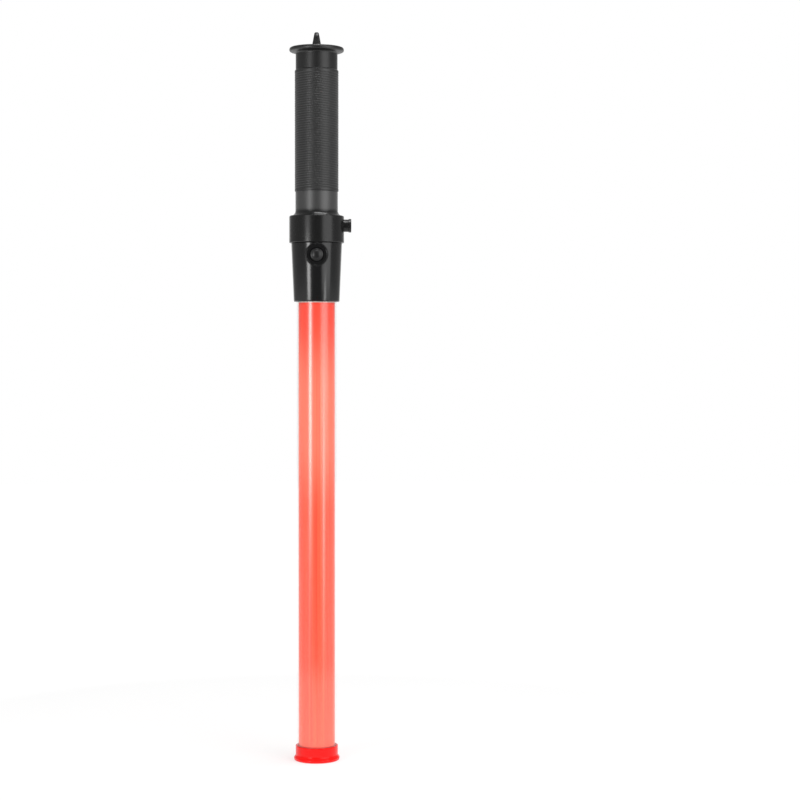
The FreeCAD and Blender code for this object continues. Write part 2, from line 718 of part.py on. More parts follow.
def grip_sleeve():
    """Ribbed rubber grip that slides on from the tail, closed by its end flange."""
    low = grip_z + LOOSE
    rim = (FLANGE_THICKNESS - FLANGE_SLOPE) / 2
    rim_z = flange_top_z - rim
    ribbed = rib_top_z - grip_z
    ribs = int(ribbed / RIB_PITCH) - 1
    groove_bottom = rib_radius - GROOVE_DEPTH
    first = grip_z + (ribbed - ribs * RIB_PITCH) / 2
    crest = RIB_PITCH * CREST_SHARE
    outline = [(rib_radius, low + GRIP_CHAMFER)]
    for index in range(ribs):
        z = first + index * RIB_PITCH
        outline += [
            (rib_radius, z),
            (groove_bottom, z + (RIB_PITCH - crest) / 2),
            (rib_radius, z + RIB_PITCH - crest),
        ]
    body = turned(
        (sleeve_bore, low),
        (rib_radius - GRIP_CHAMFER, low),
        *outline,
        (rib_radius, rib_top_z),
        (sleeve_radius, rib_top_z + RIB_HEIGHT),
        (sleeve_radius, flange_z - FLANGE_FILLET),
        arc((sleeve_radius + FLANGE_FILLET, flange_z - FLANGE_FILLET), FLANGE_FILLET, 180, 100),
        (flange_radius - rim, flange_z + FLANGE_SLOPE),
        arc((flange_radius - rim, rim_z), rim, -90, 90),
        (0, flange_top_z),
        (0, plug_head_z + SLIP),
        (sleeve_bore, plug_head_z + SLIP),
    )
    return body.cut(eye_blank(LOOSE))


def eye_blank(allowance=0.0):
    """The lanyard eye's outline without its hole: an arch seen from the side, a wedge seen from the front."""
    ring = EYE_HOLE_RADIUS + EYE_RING + allowance
    foot = ring + EYE_SPREAD
    base_z = plug_head_z
    top = V(0, 0, eye_z + ring)
    edges = [
        Part.LineSegment(V(0, ring, eye_z), V(0, foot, flange_top_z)).toShape(),
        Part.LineSegment(V(0, foot, flange_top_z), V(0, foot, base_z)).toShape(),
        Part.LineSegment(V(0, foot, base_z), V(0, -foot, base_z)).toShape(),
        Part.LineSegment(V(0, -foot, base_z), V(0, -foot, flange_top_z)).toShape(),
        Part.LineSegment(V(0, -foot, flange_top_z), V(0, -ring, eye_z)).toShape(),
        Part.Arc(V(0, -ring, eye_z), top, V(0, ring, eye_z)).toShape(),
    ]
    width = EYE_FOOT_THICKNESS + 2 * allowance
    arch = Part.Face(Part.Wire(edges)).extrude(V(width, 0, 0))
    arch.translate(V(-width / 2, 0, 0))
    low = EYE_FOOT_THICKNESS / 2 + allowance
    high = EYE_TOP_THICKNESS / 2 + allowance
    nose = V(0, 0, eye_top_z + EYE_CROWN + allowance)
    side_z = eye_top_z - EYE_TOP_THICKNESS / 2
    wedge_edges = [
        Part.LineSegment(V(-high, 0, side_z), V(-low, 0, flange_top_z)).toShape(),
        Part.LineSegment(V(-low, 0, flange_top_z), V(-low, 0, base_z)).toShape(),
        Part.LineSegment(V(-low, 0, base_z), V(low, 0, base_z)).toShape(),
        Part.LineSegment(V(low, 0, base_z), V(low, 0, flange_top_z)).toShape(),
        Part.LineSegment(V(low, 0, flange_top_z), V(high, 0, side_z)).toShape(),
        Part.Arc(V(high, 0, side_z), nose, V(-high, 0, side_z)).toShape(),
    ]
    wedge = Part.Face(Part.Wire(wedge_edges)).extrude(V(0, 4 * foot, 0))
    wedge.translate(V(0, -2 * foot, 0))
    return arch.common(wedge)


def tail_plug():
    """Plug in the handle's open tail that carries the lanyard eye."""
    spigot = disc(cell_bore - SLIP, plug_z, tail_z)
    head = disc(handle_radius, tail_z, plug_head_z)
    key = block(-STRIP_WIDTH / 2, STRIP_WIDTH / 2, 0, strip_back, plug_z, tail_z)
    start = V(-EYE_FOOT_THICKNESS, 0, eye_z)
    hole = Part.makeCylinder(EYE_HOLE_RADIUS, 2 * EYE_FOOT_THICKNESS, start, X_AXIS)
    return spigot.fuse([head, key, eye_blank()]).cut(hole).removeSplitter()


def tail_plate():
    """Brass plate under the plug, with a tongue that meets the strip."""
    plate = disc(cell_bore - LOOSE, plate_z, plug_z)
    tongue = block(-STRIP_WIDTH / 2, STRIP_WIDTH / 2, 0, strip_back, plate_z, plug_z)
    return plate.fuse(tongue).removeSplitter()


def tail_spring():
    """Conical spring between the tail plate and the rear cell, ground flat at both ends."""
    cone = math.degrees(math.atan((SPRING_WIDE - SPRING_NARROW) / SPRING_LENGTH))
    pitch = SPRING_LENGTH / SPRING_TURNS
    helix = Part.Wire(Part.makeHelix(pitch, SPRING_LENGTH, SPRING_NARROW, cone))
    section = Part.Wire(Part.makeCircle(SPRING_WIRE, V(SPRING_NARROW, 0, 0), Y_AXIS))
    coil = helix.makePipeShell([section], True, True)
    coil.translate(V(0, 0, cells_top_z))
    return coil.common(disc(cell_bore, cells_top_z, plate_z))


def ground_strip():
    """Brass strip along the cell tube: tail plate above, foot on the head's ring below."""
    half = STRIP_WIDTH / 2
    foot_z = ring_z + RING_THICKNESS + SLIP
    strip = block(-half, half, strip_front, strip_back, foot_z, plate_z)
    foot = block(-half, half, strip_front, ring_outer - LOOSE, foot_z, foot_z + STRIP_THICKNESS)
    return strip.fuse(foot).removeSplitter()


def cell_standing_at(low):
    """One battery cell, nub down, with a crimped groove inside the rounded edge of each end."""
    can_z = low + NUB_HEIGHT
    top = low + CELL_LENGTH
    rim = CELL_RADIUS - CAN_EDGE
    crimp = rim - CRIMP_INSET
    return turned(
        (0, low),
        (NUB_RADIUS - CRIMP_DEPTH, low),
        arc((NUB_RADIUS - CRIMP_DEPTH, low + CRIMP_DEPTH), CRIMP_DEPTH, -90, 0),
        (NUB_RADIUS, can_z + CRIMP_DEPTH),
        (crimp, can_z + CRIMP_DEPTH),
        (crimp + CRIMP_DEPTH, can_z),
        (rim, can_z),
        arc((rim, can_z + CAN_EDGE), CAN_EDGE, -90, 0),
        (CELL_RADIUS, top - CAN_EDGE),
        arc((rim, top - CAN_EDGE), CAN_EDGE, 0, 90),
        (crimp + CRIMP_DEPTH, top),
        (crimp, top - CRIMP_DEPTH),
        (crimp - CRIMP_DEPTH, top),
        (0, top),
    )


def cell():
    """Battery cells end to end, the first with its nub on the head's contact."""
    return [cell_standing_at(cells_z + index * CELL_LENGTH) for index in range(CELL_COUNT)]


SINGLE_PIECES = (
    tip_cap, tip_reflector, light_tube, diffuser_liner, reflector_cup,
    head_shell, lamp_board, driver_chip, switch_board, switch_body, switch_plunger, push_button,
    terminal_disc, negative_ring, positive_contact, positive_lead, negative_lead,
    seal_ring, handle_shell, magnet, grip_sleeve, tail_plug, tail_plate, tail_spring, ground_strip,
)
REPEATED_PIECES = (lamp, board_screw, resistor, disc_screw, cell)


def save(name, shape):
    """Write one piece's STEP file, and say so if its solid is faulty."""
    if not shape.isValid():
        print("not valid:", name)
    shape.exportStep("parts/" + name + ".step")


os.makedirs("parts", exist_ok=True)
for make in SINGLE_PIECES:
    save(make.__name__, make())
for make in REPEATED_PIECES:
    for number, piece in enumerate(make(), 1):
        save(f"{make.__name__}_{number}", piece)
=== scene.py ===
"""Visible pieces, finishes and studio for a battery traffic wand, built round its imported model.

Lengths are in metres. Z runs along the wand from the tip (z = 0) up to the lanyard eye,
the push button faces -Y and the magnet stud faces +X.
"""

import math

import bmesh
import bpy
import numpy as np
from bpy.props import FloatProperty, FloatVectorProperty, IntProperty, PointerProperty
from mathutils import Euler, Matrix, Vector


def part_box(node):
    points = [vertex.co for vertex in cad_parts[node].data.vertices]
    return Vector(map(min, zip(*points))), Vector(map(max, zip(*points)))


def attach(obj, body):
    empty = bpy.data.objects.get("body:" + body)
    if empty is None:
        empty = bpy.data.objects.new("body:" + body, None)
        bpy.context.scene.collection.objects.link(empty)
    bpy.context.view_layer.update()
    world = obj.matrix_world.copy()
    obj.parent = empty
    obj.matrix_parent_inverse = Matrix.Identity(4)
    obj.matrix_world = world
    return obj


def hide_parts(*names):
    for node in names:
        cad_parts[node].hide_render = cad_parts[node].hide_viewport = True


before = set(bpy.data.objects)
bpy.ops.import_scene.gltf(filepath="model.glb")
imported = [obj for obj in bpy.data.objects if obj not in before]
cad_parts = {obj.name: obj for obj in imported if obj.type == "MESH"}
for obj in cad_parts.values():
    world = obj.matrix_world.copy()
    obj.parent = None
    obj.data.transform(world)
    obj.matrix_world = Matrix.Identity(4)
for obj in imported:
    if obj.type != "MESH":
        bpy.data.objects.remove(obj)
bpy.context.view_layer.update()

bl_info = {
    "name": "Battery traffic wand",
    "version": (1, 0, 0),
    "blender": (4, 5, 0),
    "location": "3D View > Sidebar > Wand",
    "description": "Builds a traffic wand's visible pieces, finishes and studio",
    "category": "Object",
}

MM = 0.001
FINE_EDGE = 0.12 * MM
TURN_STEPS = 160
SHARP_ANGLE = math.radians(40)

# Fits that two or more pieces share.
CLEARANCE = 0.05 * MM
THREAD_END = 1.4 * MM       # plain neck above the threads
THREAD_SLACK = 0.35 * MM    # further gap above them
PLUG_DROP = 4.2 * MM        # tail plug's top below the end flange's face

# Studio. Directions count as front or back between these cosines of the angle from straight ahead.
FAN = (0.8, 0.92)
FRONT = 0.2                 # brightness that reflections find in front of the wand
SIDES = 0.4                 # and beside it
PATHS = ("Is Camera Ray", "Is Glossy Ray", "Is Transmission Ray")
FLOOR_RINGS = (0.0, 0.6, 3.0)
FLOOR_SIDES = 64
FLOOR_DROP = 0.2 * MM
SHADOW_REACH = (0.36, 0.46)     # the floor's shadow fades out between these radii
NEAR_WHITE, FAR_WHITE = 1.2, 1.05
NEAR_SHARE, FAR_SHARE = 0.5, 1.0    # how much of the floor glows instead of being lit
CAMERA_ANGLES = (88.466, -0.05, -2.444)     # degrees about X, Y and Z; 90 about X looks level


# ---- properties
def size(name, description, millimetres):
    """A length property whose default is given in millimetres."""
    return FloatProperty(
        name=name, description=description, default=millimetres * MM, unit="LENGTH", precision=5
    )


def amount(name, description, default):
    """A plain number from nothing upwards."""
    return FloatProperty(name=name, description=description, default=default, min=0.0)


def linear(code):
    """Linear colour of an sRGB hex code."""
    channels = np.array([int(code[start:start + 2], 16) / 255 for start in (0, 2, 4)])
    return tuple(np.where(channels <= 0.04045, channels / 12.92, ((channels + 0.055) / 1.055) ** 2.4).tolist())


def colour(name, description, code):
    """A colour property whose default is given as an sRGB hex code."""
    return FloatVectorProperty(
        name=name, description=description, default=linear(code), subtype="COLOR", min=0.0, max=1.0
    )


class WandGrip(bpy.types.PropertyGroup):
    """Sizes of the ribbed grip and its end flange."""
    plain_radius: size("Plain radius", "Smooth stretch under the end flange", 15.45)
    rib_radius: size("Rib radius", "Crest of the ribs", 16.2)
    rib_pitch: size("Rib pitch", "From one rib to the next", 1.75)
    rib_depth: size("Rib depth", "Groove between two ribs", 0.26)
    rib_stretch: size("Ribbed length", "Ribbed stretch, from the grip's lower end", 88.8)
    flange_height: size("Flange height", "End flange where it meets the grip", 4.0)
    flange_slope: size("Flange slope", "Rise of the flange's underside towards its rim", 1.2)
    bore: size("Bore", "Radius of the tube that the grip sits on", 14.8)


class WandHandle(bpy.types.PropertyGroup):
    """Sizes of the cell tube, bare neck, flare and threaded collar."""
    tube_radius: size("Tube radius", "Cell tube under the grip", 14.75)
    cell_bore: size("Cell bore", "Radius of the cells' bore", 13.45)
    neck_radius: size("Neck radius", "Bare neck below the grip", 15.7)
    flare_out: size("Flare width", "Flare beyond the neck", 2.4)
    flare_height: size("Flare height", "Flare above the collar", 4.0)
    collar_height: size("Collar height", "Collar from its lower edge to its top", 20.1)
    collar_bore: size("Collar bore", "Radius inside the collar, between the threads", 18.65)
    collar_roof: size("Collar roof", "Plastic above the collar's cavity", 3.0)
    stud_radius: size("Stud radius", "Magnet stud", 4.6)
    stud_lip: size("Stud lip", "End lip beyond the stud", 0.4)
    lip_height: size("Lip height", "End lip along the stud", 2.0)


class WandHead(bpy.types.PropertyGroup):
    """Sizes of the tapered head, its neck and the button boss."""
    mouth_radius: size("Mouth radius", "Outside of the head's lower end", 16.95)
    shoulder_radius: size("Shoulder radius", "Outside of the head's upper end", 18.8)
    length: size("Length", "From the mouth to the shoulder", 43.4)
    neck_radius: size("Neck radius", "Neck between the thread's ridges", 17.35)
    bay_radius: size("Bay radius", "Inside of the lamp bay", 15.4)
    thread_depth: size("Thread depth", "Ridge above its wall", 1.1)
    thread_pitch: size("Thread pitch", "Lead of one turn", 4.0)
    thread_turns: amount("Thread turns", "Turns of each ridge", 2.5)
    boss_radius: size("Boss radius", "Button boss", 8.65)
    boss_face: size("Boss face", "Boss's face in front of the wand's axis", 20.0)
    boss_rim: size("Boss rim", "Width of the boss's rim", 0.85)
    recess_depth: size("Recess depth", "Recess round the button", 2.9)
    button_radius: size("Button radius", "Button's domed stem", 4.8)
    button_dome: size("Button dome", "Height of the button's dome", 1.4)


class WandTube(bpy.types.PropertyGroup):
    """Sizes of the clear tube, red liner and tip cap."""
    wall: size("Tube wall", "Clear tube's wall", 1.3)
    liner_wall: size("Liner wall", "Red liner's wall", 0.8)
    flute_depth: size("Flute depth", "Flutes along the liner's inner face", 0.35)
    flutes: IntProperty(name="Flutes", description="Flutes round the liner", default=72, min=3)
    cap_radius: size("Cap radius", "Tip cap above its lip", 15.8)
    cap_lip: size("Cap lip", "Height of the tip cap's wider lip", 2.0)


class WandEye(bpy.types.PropertyGroup):
    """Sizes of the lanyard eye."""
    hole_radius: size("Hole radius", "Round hole for the lanyard", 3.0)
    ring: size("Ring", "Plastic round the hole", 2.0)
    spread: size("Spread", "Foot wider than the ring on each side", 1.6)
    height: size("Height", "Eye above the end flange", 11.5)
    foot_thickness: size("Foot thickness", "Thickness at the flange", 7.1)
    top_thickness: size("Top thickness", "Thickness at the top", 3.6)


class WandFinish(bpy.types.PropertyGroup):
    """Colours of the pieces that show."""
    grip: colour("Grip", "Soft black grip", "101010")
    satin: colour("Satin black", "Handle's hard plastic", "101010")
    gloss: colour("Gloss black", "Head's hard plastic", "0d0d0e")
    button: colour("Button", "Push button's rubber", "0e0e0f")
    liner: colour("Liner", "Red light liner", "ff5c37")
    cap: colour("Cap", "Red tip cap", "fa0401")
    reflector: colour("Reflector", "White plastic", "e8e4dc")
    brass: colour("Brass", "Contacts", "c9a35a")
    steel: colour("Steel", "Screws and spring", "b4b6ba")
    board: colour("Board", "Circuit boards", "1f5a34")


class WandStudio(bpy.types.PropertyGroup):
    """Light, floor and camera. A lamp's brightness is counted in whites: 1 looks as bright as white paper."""
    left_strip: amount("Left strip", "Brightness of the low narrow lamp on the left", 10.0)
    left_panel: amount("Left panel", "Brightness of the dim lamp above it", 1.5)
    right_panel: amount("Right panel", "Brightness of the broad lamp on the right", 1.75)
    right_strip: amount("Right strip", "Brightness of the low narrow lamp on the right", 8.0)
    top_panel: amount("Top panel", "Brightness of the lamp overhead", 8.0)
    ambient: amount("Ambient", "Light from all round", 0.5)
    camera_distance: size("Camera distance", "From the wand's axis", 1450.0)
    camera_height: size("Camera height", "Above the floor", 307.0)
    lens: FloatProperty(name="Lens", description="Focal length in millimetres", default=87.79, min=1.0)


class WandSettings(bpy.types.PropertyGroup):
    """All the wand's sizes and colours."""
    grip: PointerProperty(type=WandGrip)
    handle: PointerProperty(type=WandHandle)
    head: PointerProperty(type=WandHead)
    tube: PointerProperty(type=WandTube)
    eye: PointerProperty(type=WandEye)
    finish: PointerProperty(type=WandFinish)
    studio: PointerProperty(type=WandStudio)


# ---- surfaces
def surface(name, grid, ends="ring"):
    """Object from a grid of points: rows run along the shape, columns go round it and join up.

    ends is "ring" where the last row joins the first, "point" where the end rows each shrink
    to one point, and "flat" where one flat face closes each of them.
    """
    rows, columns = grid.shape[:2]
    index = np.arange(rows * columns).reshape(rows, columns)
    near = index if ends == "ring" else index[:-1]
    far = np.roll(index, -1, axis=0) if ends == "ring" else index[1:]
    quads = np.stack([near, np.roll(near, -1, axis=1), np.roll(far, -1, axis=1), far], axis=-1)
    faces = quads.reshape(-1, 4).tolist()
    if ends == "flat":
        faces += [index[0].tolist(), index[-1].tolist()]
    mesh = bpy.data.meshes.new(name)
    mesh.from_pydata(grid.reshape(-1, 3), [], faces)
    clean = bmesh.new()
    clean.from_mesh(mesh)
    bmesh.ops.remove_doubles(clean, verts=clean.verts, dist=1e-8)
    bmesh.ops.recalc_face_normals(clean, faces=clean.faces)
    clean.to_mesh(mesh)
    clean.free()
    mesh.shade_smooth()
    mesh.set_sharp_from_angle(angle=SHARP_ANGLE)
    piece = bpy.data.objects.new(name, mesh)
    bpy.context.scene.collection.objects.link(piece)
    return piece


def turned(name, profile, axis="up", centre=(0.0, 0.0, 0.0), ends="ring", steps=TURN_STEPS):
    """Solid of revolution: each (radius, height) of the profile goes once round the axis.

    The point at angle a is (radius cos a, radius sin a) across the axis and height along it.
    axis is "up" for +Z, "side" for +X and "front" for -Y, with height measured from centre.
    """
    angle = np.linspace(0, 2 * math.pi, steps, endpoint=False)
    across = profile[:, :1] * np.cos(angle)
    along = profile[:, :1] * np.sin(angle)
    height = np.broadcast_to(profile[:, 1:2], across.shape)
    order = {"up": (across, along, height), "side": (height, across, along), "front": (across, -height, along)}
    return surface(name, np.stack(order[axis], axis=-1) + np.array(centre), ends)


def unit(vector):
    """Vector of length one in the same direction."""
    return vector / np.linalg.norm(vector)


def rounded(corners, closed=True):
    """Outline through (radius, height, round) corners, each replaced by an arc tangent to its two runs.

    The arc's centre lies on the corner's bisector, round / sin(half the corner) away. One more
    point on each run, close to the arc, keeps the long faces' shading flat.
    """
    points = np.array([corner[:2] for corner in corners], dtype=float)
    rounds = [corner[2] if len(corner) > 2 else FINE_EDGE for corner in corners]
    outline = []
    for place, radius in enumerate(rounds):
        here = points[place]
        at_end = not closed and place in (0, len(points) - 1)
        if at_end or radius == 0:
            outline.append(here[None])
            continue
        back = points[place - 1] - here
        ahead = points[(place + 1) % len(points)] - here
        reach = 0.45 * min(np.linalg.norm(back), np.linalg.norm(ahead))
        back, ahead = unit(back), unit(ahead)
        half = math.acos(np.clip(back @ ahead, -1, 1)) / 2
        setback = min(radius / math.tan(half), reach)
        radius = setback * math.tan(half)
        centre = here + unit(back + ahead) * (radius / math.sin(half))
        support = min(0.15 * MM, reach - setback)
        start, finish = here + back * setback - centre, here + ahead * setback - centre
        turn = math.pi - 2 * half
        share = np.linspace(0, 1, max(3, math.ceil(math.degrees(turn) / 15) + 1))[:, None]
        arc = (np.sin((1 - share) * turn) * start + np.sin(share * turn) * finish) / math.sin(turn)
        into, out = here + back * (setback + support), here + ahead * (setback + support)
        outline += [into[None], centre + arc, out[None]]
    return np.concatenate(outline)


def arc_points(centre, radius, start, end, count):
    """Points on an arc, from one angle in degrees to another."""
    angle = np.radians(np.linspace(start, end, count))
    return np.stack([centre[0] + radius * np.cos(angle), centre[1] + radius * np.sin(angle)], axis=-1)


def ridge(name, wall, crest, low, pitch, turns, turn_start):
    """Screw thread's ridge: a rounded four-cornered section carried along a helix.

    At angle a the section stands at height low + pitch * a / 2 pi, and over the first and last
    eighth of a turn it shrinks into the wall.
    """
    angle = np.linspace(0, 2 * math.pi * turns, round(96 * turns))[:, None]
    sink = 0.3 * MM * (-1 if crest > wall else 1)
    foot, flat, fillet = 0.95 * MM, 0.6 * MM, 0.25 * MM
    section = rounded([
        (wall + sink, -foot), (crest, -flat, fillet), (crest, flat, fillet), (wall + sink, foot),
    ])
    fade = np.clip(np.minimum(angle, 2 * math.pi * turns - angle) / (math.pi / 4), 0.02, 1)
    radius = wall + sink + (section[:, 0] - wall - sink) * fade
    turn = angle + turn_start
    height = low + pitch * angle / (2 * math.pi) + section[:, 1] * (0.5 + 0.5 * fade)
    return surface(name, np.stack([radius * np.cos(turn), radius * np.sin(turn), height], axis=-1), "flat")


def thread_start(head):
    """Height of both threads' lower ends."""
    neck_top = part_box("head_shell")[1][2]
    return neck_top - THREAD_END - head.thread_pitch * head.thread_turns - THREAD_SLACK


def cut_away(piece, cutter):
    """Takes the cutter's volume out of the piece and deletes the cutter."""
    modifier = piece.modifiers.new("cut", "BOOLEAN")
    modifier.operation = "DIFFERENCE"
    modifier.solver = "EXACT"
    modifier.object = cutter
    graph = bpy.context.evaluated_depsgraph_get()
    mesh = bpy.data.meshes.new_from_object(piece.evaluated_get(graph))
    piece.modifiers.clear()
    piece.data = mesh
    mesh.set_sharp_from_angle(angle=SHARP_ANGLE)
    bpy.data.objects.remove(cutter)


def settle(piece, body, slot, finish, *nodes):
    """Gives a piece its body and finish, and the model nodes that it stands for. Its record slot is not used.
    """
    piece.data.materials.clear()
    piece.data.materials.append(finish)
    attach(piece, body)
    if nodes:
        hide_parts(*nodes)


# ---- finishes
class Signal:
    """An output socket whose arithmetic adds Math nodes."""

    def __init__(self, finish, socket):
        self.finish = finish
        self.socket = socket

    def maths(self, operation, *others):
        """Math node whose first input is this signal."""
        return self.finish.node("ShaderNodeMath", {"operation": operation}, dict(enumerate((self, *others))))

    def __add__(self, other):
        return self.maths("ADD", other)

    def __sub__(self, other):
        return self.maths("SUBTRACT", other)

    def __rsub__(self, other):
        return self * -1 + other

    def __mul__(self, other):
        return self.maths("MULTIPLY", other)

    def __truediv__(self, other):
        return self.maths("DIVIDE", other)

    def __pow__(self, other):
        return self.maths("POWER", other)

    __radd__ = __add__
    __rmul__ = __mul__


class Finish:
    """One material. node() makes every node: its settings first, then its sockets' values or links."""

    def __init__(self, name, world=None):
        self.owner = world or bpy.data.materials.new(name)
        self.owner.use_nodes = True
        self.tree = self.owner.node_tree
        self.tree.nodes.clear()

    def node(self, kind, settings=None, sockets=None, output=0):
        made = self.tree.nodes.new(kind)
        for key, value in (settings or {}).items():
            if key == "stops":
                for stop, (position, tint) in zip(made.color_ramp.elements, value):
                    stop.position = position
                    stop.color = (*tint, 1.0)
            else:
                setattr(made, key, value)
        for key, value in (sockets or {}).items():
            if isinstance(value, Signal):
                self.tree.links.new(value.socket, made.inputs[key])
            else:
                made.inputs[key].default_value = value
        return Signal(self, made.outputs[output]) if made.outputs else None

    def place(self):
        """Object coordinates."""
        return self.node("ShaderNodeTexCoord", output="Object")

    def parts_of_place(self):
        """Object coordinates as three numbers."""
        split = self.node("ShaderNodeSeparateXYZ", {}, {0: self.place()}).socket.node
        return [Signal(self, split.outputs[axis]) for axis in "XYZ"]

    def noise(self, scale, detail=3.0, stretch=(1.0, 1.0, 1.0), roughness=0.55):
        """Noise from 0 to 1 at a number of features per metre, stretched by the given factors."""
        spread = self.node("ShaderNodeMapping", {}, {"Vector": self.place(), "Scale": stretch})
        return self.node("ShaderNodeTexNoise", {}, {
            "Vector": spread, "Scale": scale, "Detail": detail, "Roughness": roughness,
        })

    def blend(self, factor, first, second):
        """Mix of two colours."""
        first = first if isinstance(first, Signal) else (*first, 1.0)
        second = second if isinstance(second, Signal) else (*second, 1.0)
        settings = {"data_type": "RGBA", "clamp_factor": True}
        return self.node("ShaderNodeMix", settings, {0: factor, 6: first, 7: second}, output=2)

    def ramp(self, value, start, finish, low, high):
        """Smooth step from low to high as the value goes from start to finish."""
        return self.node("ShaderNodeMapRange", {"interpolation_type": "SMOOTHSTEP"}, {
            "Value": value, "From Min": start, "From Max": finish, "To Min": low, "To Max": high,
        })

    def bump(self, height, depth):
        """Surface relief of a depth in metres."""
        return self.node("ShaderNodeBump", {}, {"Height": height, "Distance": depth, "Strength": 1.0})

    def surface(self, **sockets):
        """Principled surface straight to the output. Socket names are written with underscores."""
        values = {key.replace("_", " "): value for key, value in sockets.items()}
        shader = self.node("ShaderNodeBsdfPrincipled", {}, values)
        self.close(shader)
        return self.owner

    def close(self, shader, output="ShaderNodeOutputMaterial"):
        self.node(output, {}, {"Surface": shader})
        return self.owner


def shade(tint, factor):
    """Colour made lighter or darker by a factor."""
    return tuple(min(1.0, channel * factor) for channel in tint)


def soft_rubber(name, tint, roughness=0.36, ribs_top=None):
    """Soft black rubber: fine matte grain, a little dust, satin sheen. Below ribs_top a painted sheen, patchy
    with the dust, makes it lighter where the ribs catch the light.
    """
    finish = Finish(name)
    grain = finish.noise(2600.0, 4.0)
    dust = finish.noise(160.0, 4.0)
    base = finish.blend(dust * 0.6, shade(tint, 0.85), shade(tint, 1.35))
    if ribs_top is not None:
        x, y, z = finish.parts_of_place()
        # painted sheen: the ribbed stretch below ribs_top is painted lighter, as if lit
        painted_rib_sheen = finish.ramp(z, ribs_top, ribs_top + 1.0 * MM, 1.0, 0.0)
        base = finish.blend(painted_rib_sheen * (0.5 + 0.8 * dust), base, shade(tint, 3.2))
    return finish.surface(
        Base_Color=base, Roughness=roughness + 0.12 * dust, Normal=finish.bump(grain, 0.02 * MM), IOR=1.55
    )


def hard_black(name, tint, roughness, grain_depth, matte_above=None, index=1.45):
    """Moulded black plastic: faint flow lines along the wand, fine grain and handling marks.

    Above the given height it turns to a paler, rougher texture, as on the handle's bare neck.
    """
    finish = Finish(name)
    flow = finish.noise(220.0, 3.0, (1.0, 1.0, 0.08))
    marks = finish.noise(900.0, 5.0, (1.0, 1.0, 0.35), 0.7)
    grain = finish.noise(3200.0, 2.0)
    base = finish.blend(flow, shade(tint, 0.8), shade(tint, 1.3))
    wear = (marks - 0.55) * 0.35
    rough = roughness + 0.05 * flow + finish.node("ShaderNodeClamp", {}, {0: wear, "Max": 0.1})
    coat = 0.0
    if matte_above is not None:
        x, y, z = finish.parts_of_place()
        coat = finish.ramp(z, matte_above - 1.5 * MM, matte_above + 1.5 * MM, 0.0, 1.0)
        base = finish.blend(coat, base, (0.022, 0.022, 0.022))
        rough = rough + coat * 0.14
    return finish.surface(
        Base_Color=base, Roughness=rough, Normal=finish.bump(grain + 0.6 * flow, grain_depth), IOR=index,
        Coat_Weight=coat, Coat_Roughness=0.42, Coat_IOR=1.55,
    )


def red_liner(name, tint, flutes):
    """Translucent red liner: fine lengthwise lines at the flutes' spacing and long soft streaks, with painted
    light:
    a faint painted red glow all over, a stronger painted glow below the head and near the tip for the lamps'
    light and what the tip's mirror sends back, painted shade that darkens it just under the head's mouth, and a
    dark red painted shadow just above the tip cap."""
    finish = Finish(name)
    x, y, z = finish.parts_of_place()
    line = (y.maths("ARCTAN2", x) * flutes).maths("SINE") * 0.5 + 0.5
    streak = finish.noise(420.0, 4.0, (1.0, 1.0, 0.012))
    fine = finish.noise(900.0, 3.0, (1.0, 1.0, 0.006))
    tone = 0.35 * streak + 0.25 * line + 0.4 * fine
    mouth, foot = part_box("head_shell")[0][2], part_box("tip_cap")[1][2]
    # painted shadow: just above the tip cap the liner turns dark red and glows less
    painted_cap_shadow = finish.ramp(z, foot, foot + 1.2 * MM, 0.2, 1.0)
    # painted shade: towards the head's mouth the lighter tone fades out
    painted_head_shade = finish.ramp(z, mouth - 0.07, mouth, 1.0, 0.15)
    light = finish.ramp(tone, 0.32, 0.68, 0.0, 1.0) * painted_head_shade
    base = finish.blend(light, (1.0, tint[1] * 0.55, tint[2] * 0.6), (1.0, tint[1] * 1.7, tint[2] * 1.9))
    base = finish.blend(painted_cap_shadow, (0.6, 0.0, 0.0), base)
    # painted glow: a band below the head and one near the tip, over a faint red glow everywhere
    head_glow_fade_in = finish.ramp(z, mouth - 0.16, mouth - 0.1, 0.0, 1.0)
    lamps = finish.ramp(z, mouth - 0.065, mouth - 0.01, 1.0, 0.0) * head_glow_fade_in
    tip = finish.ramp(z, foot + 0.045, foot + 0.065, 0.45, 0.0)
    painted_glow = finish.blend((lamps + tip) * (0.55 + 0.6 * tone), (0.34, 0.0, 0.0), (0.55, 0.24, 0.19))
    painted_glow = finish.blend(painted_cap_shadow, (0.1, 0.0, 0.0), painted_glow)
    return finish.surface(
        Base_Color=base, Roughness=0.38 + 0.1 * streak, Normal=finish.bump(line, 0.03 * MM),
        Emission_Color=painted_glow, Emission_Strength=0.5, IOR=1.4,
        Sheen_Weight=1.0, Sheen_Roughness=0.3, Sheen_Tint=(1.0, 0.8, 0.78, 1.0),
    )


def clear_wall(name):
    """Clear hard tube: see-through head on, glossy at grazing angles, with faint draw lines along it."""
    finish = Finish(name)
    draw = finish.noise(700.0, 3.0, (1.0, 1.0, 0.01))
    relief = finish.bump(draw, 0.0006 * MM)
    inside = finish.node("ShaderNodeNewGeometry", output="Backfacing")
    edge = finish.node("ShaderNodeFresnel", {}, {"IOR": 1.6}) * (1 - inside) + 0.04 * inside
    gloss = finish.node("ShaderNodeBsdfPrincipled", {}, {
        "Base Color": (1.0, 0.97, 0.96, 1.0), "Metallic": 1.0, "Roughness": 0.21 + 0.06 * draw,
        "Normal": relief,
    })
    through = finish.node("ShaderNodeBsdfTransparent", {}, {"Color": (1.0, 0.985, 0.98, 1.0)})
    return finish.close(finish.node("ShaderNodeMixShader", {}, {0: edge, 1: through, 2: gloss}))


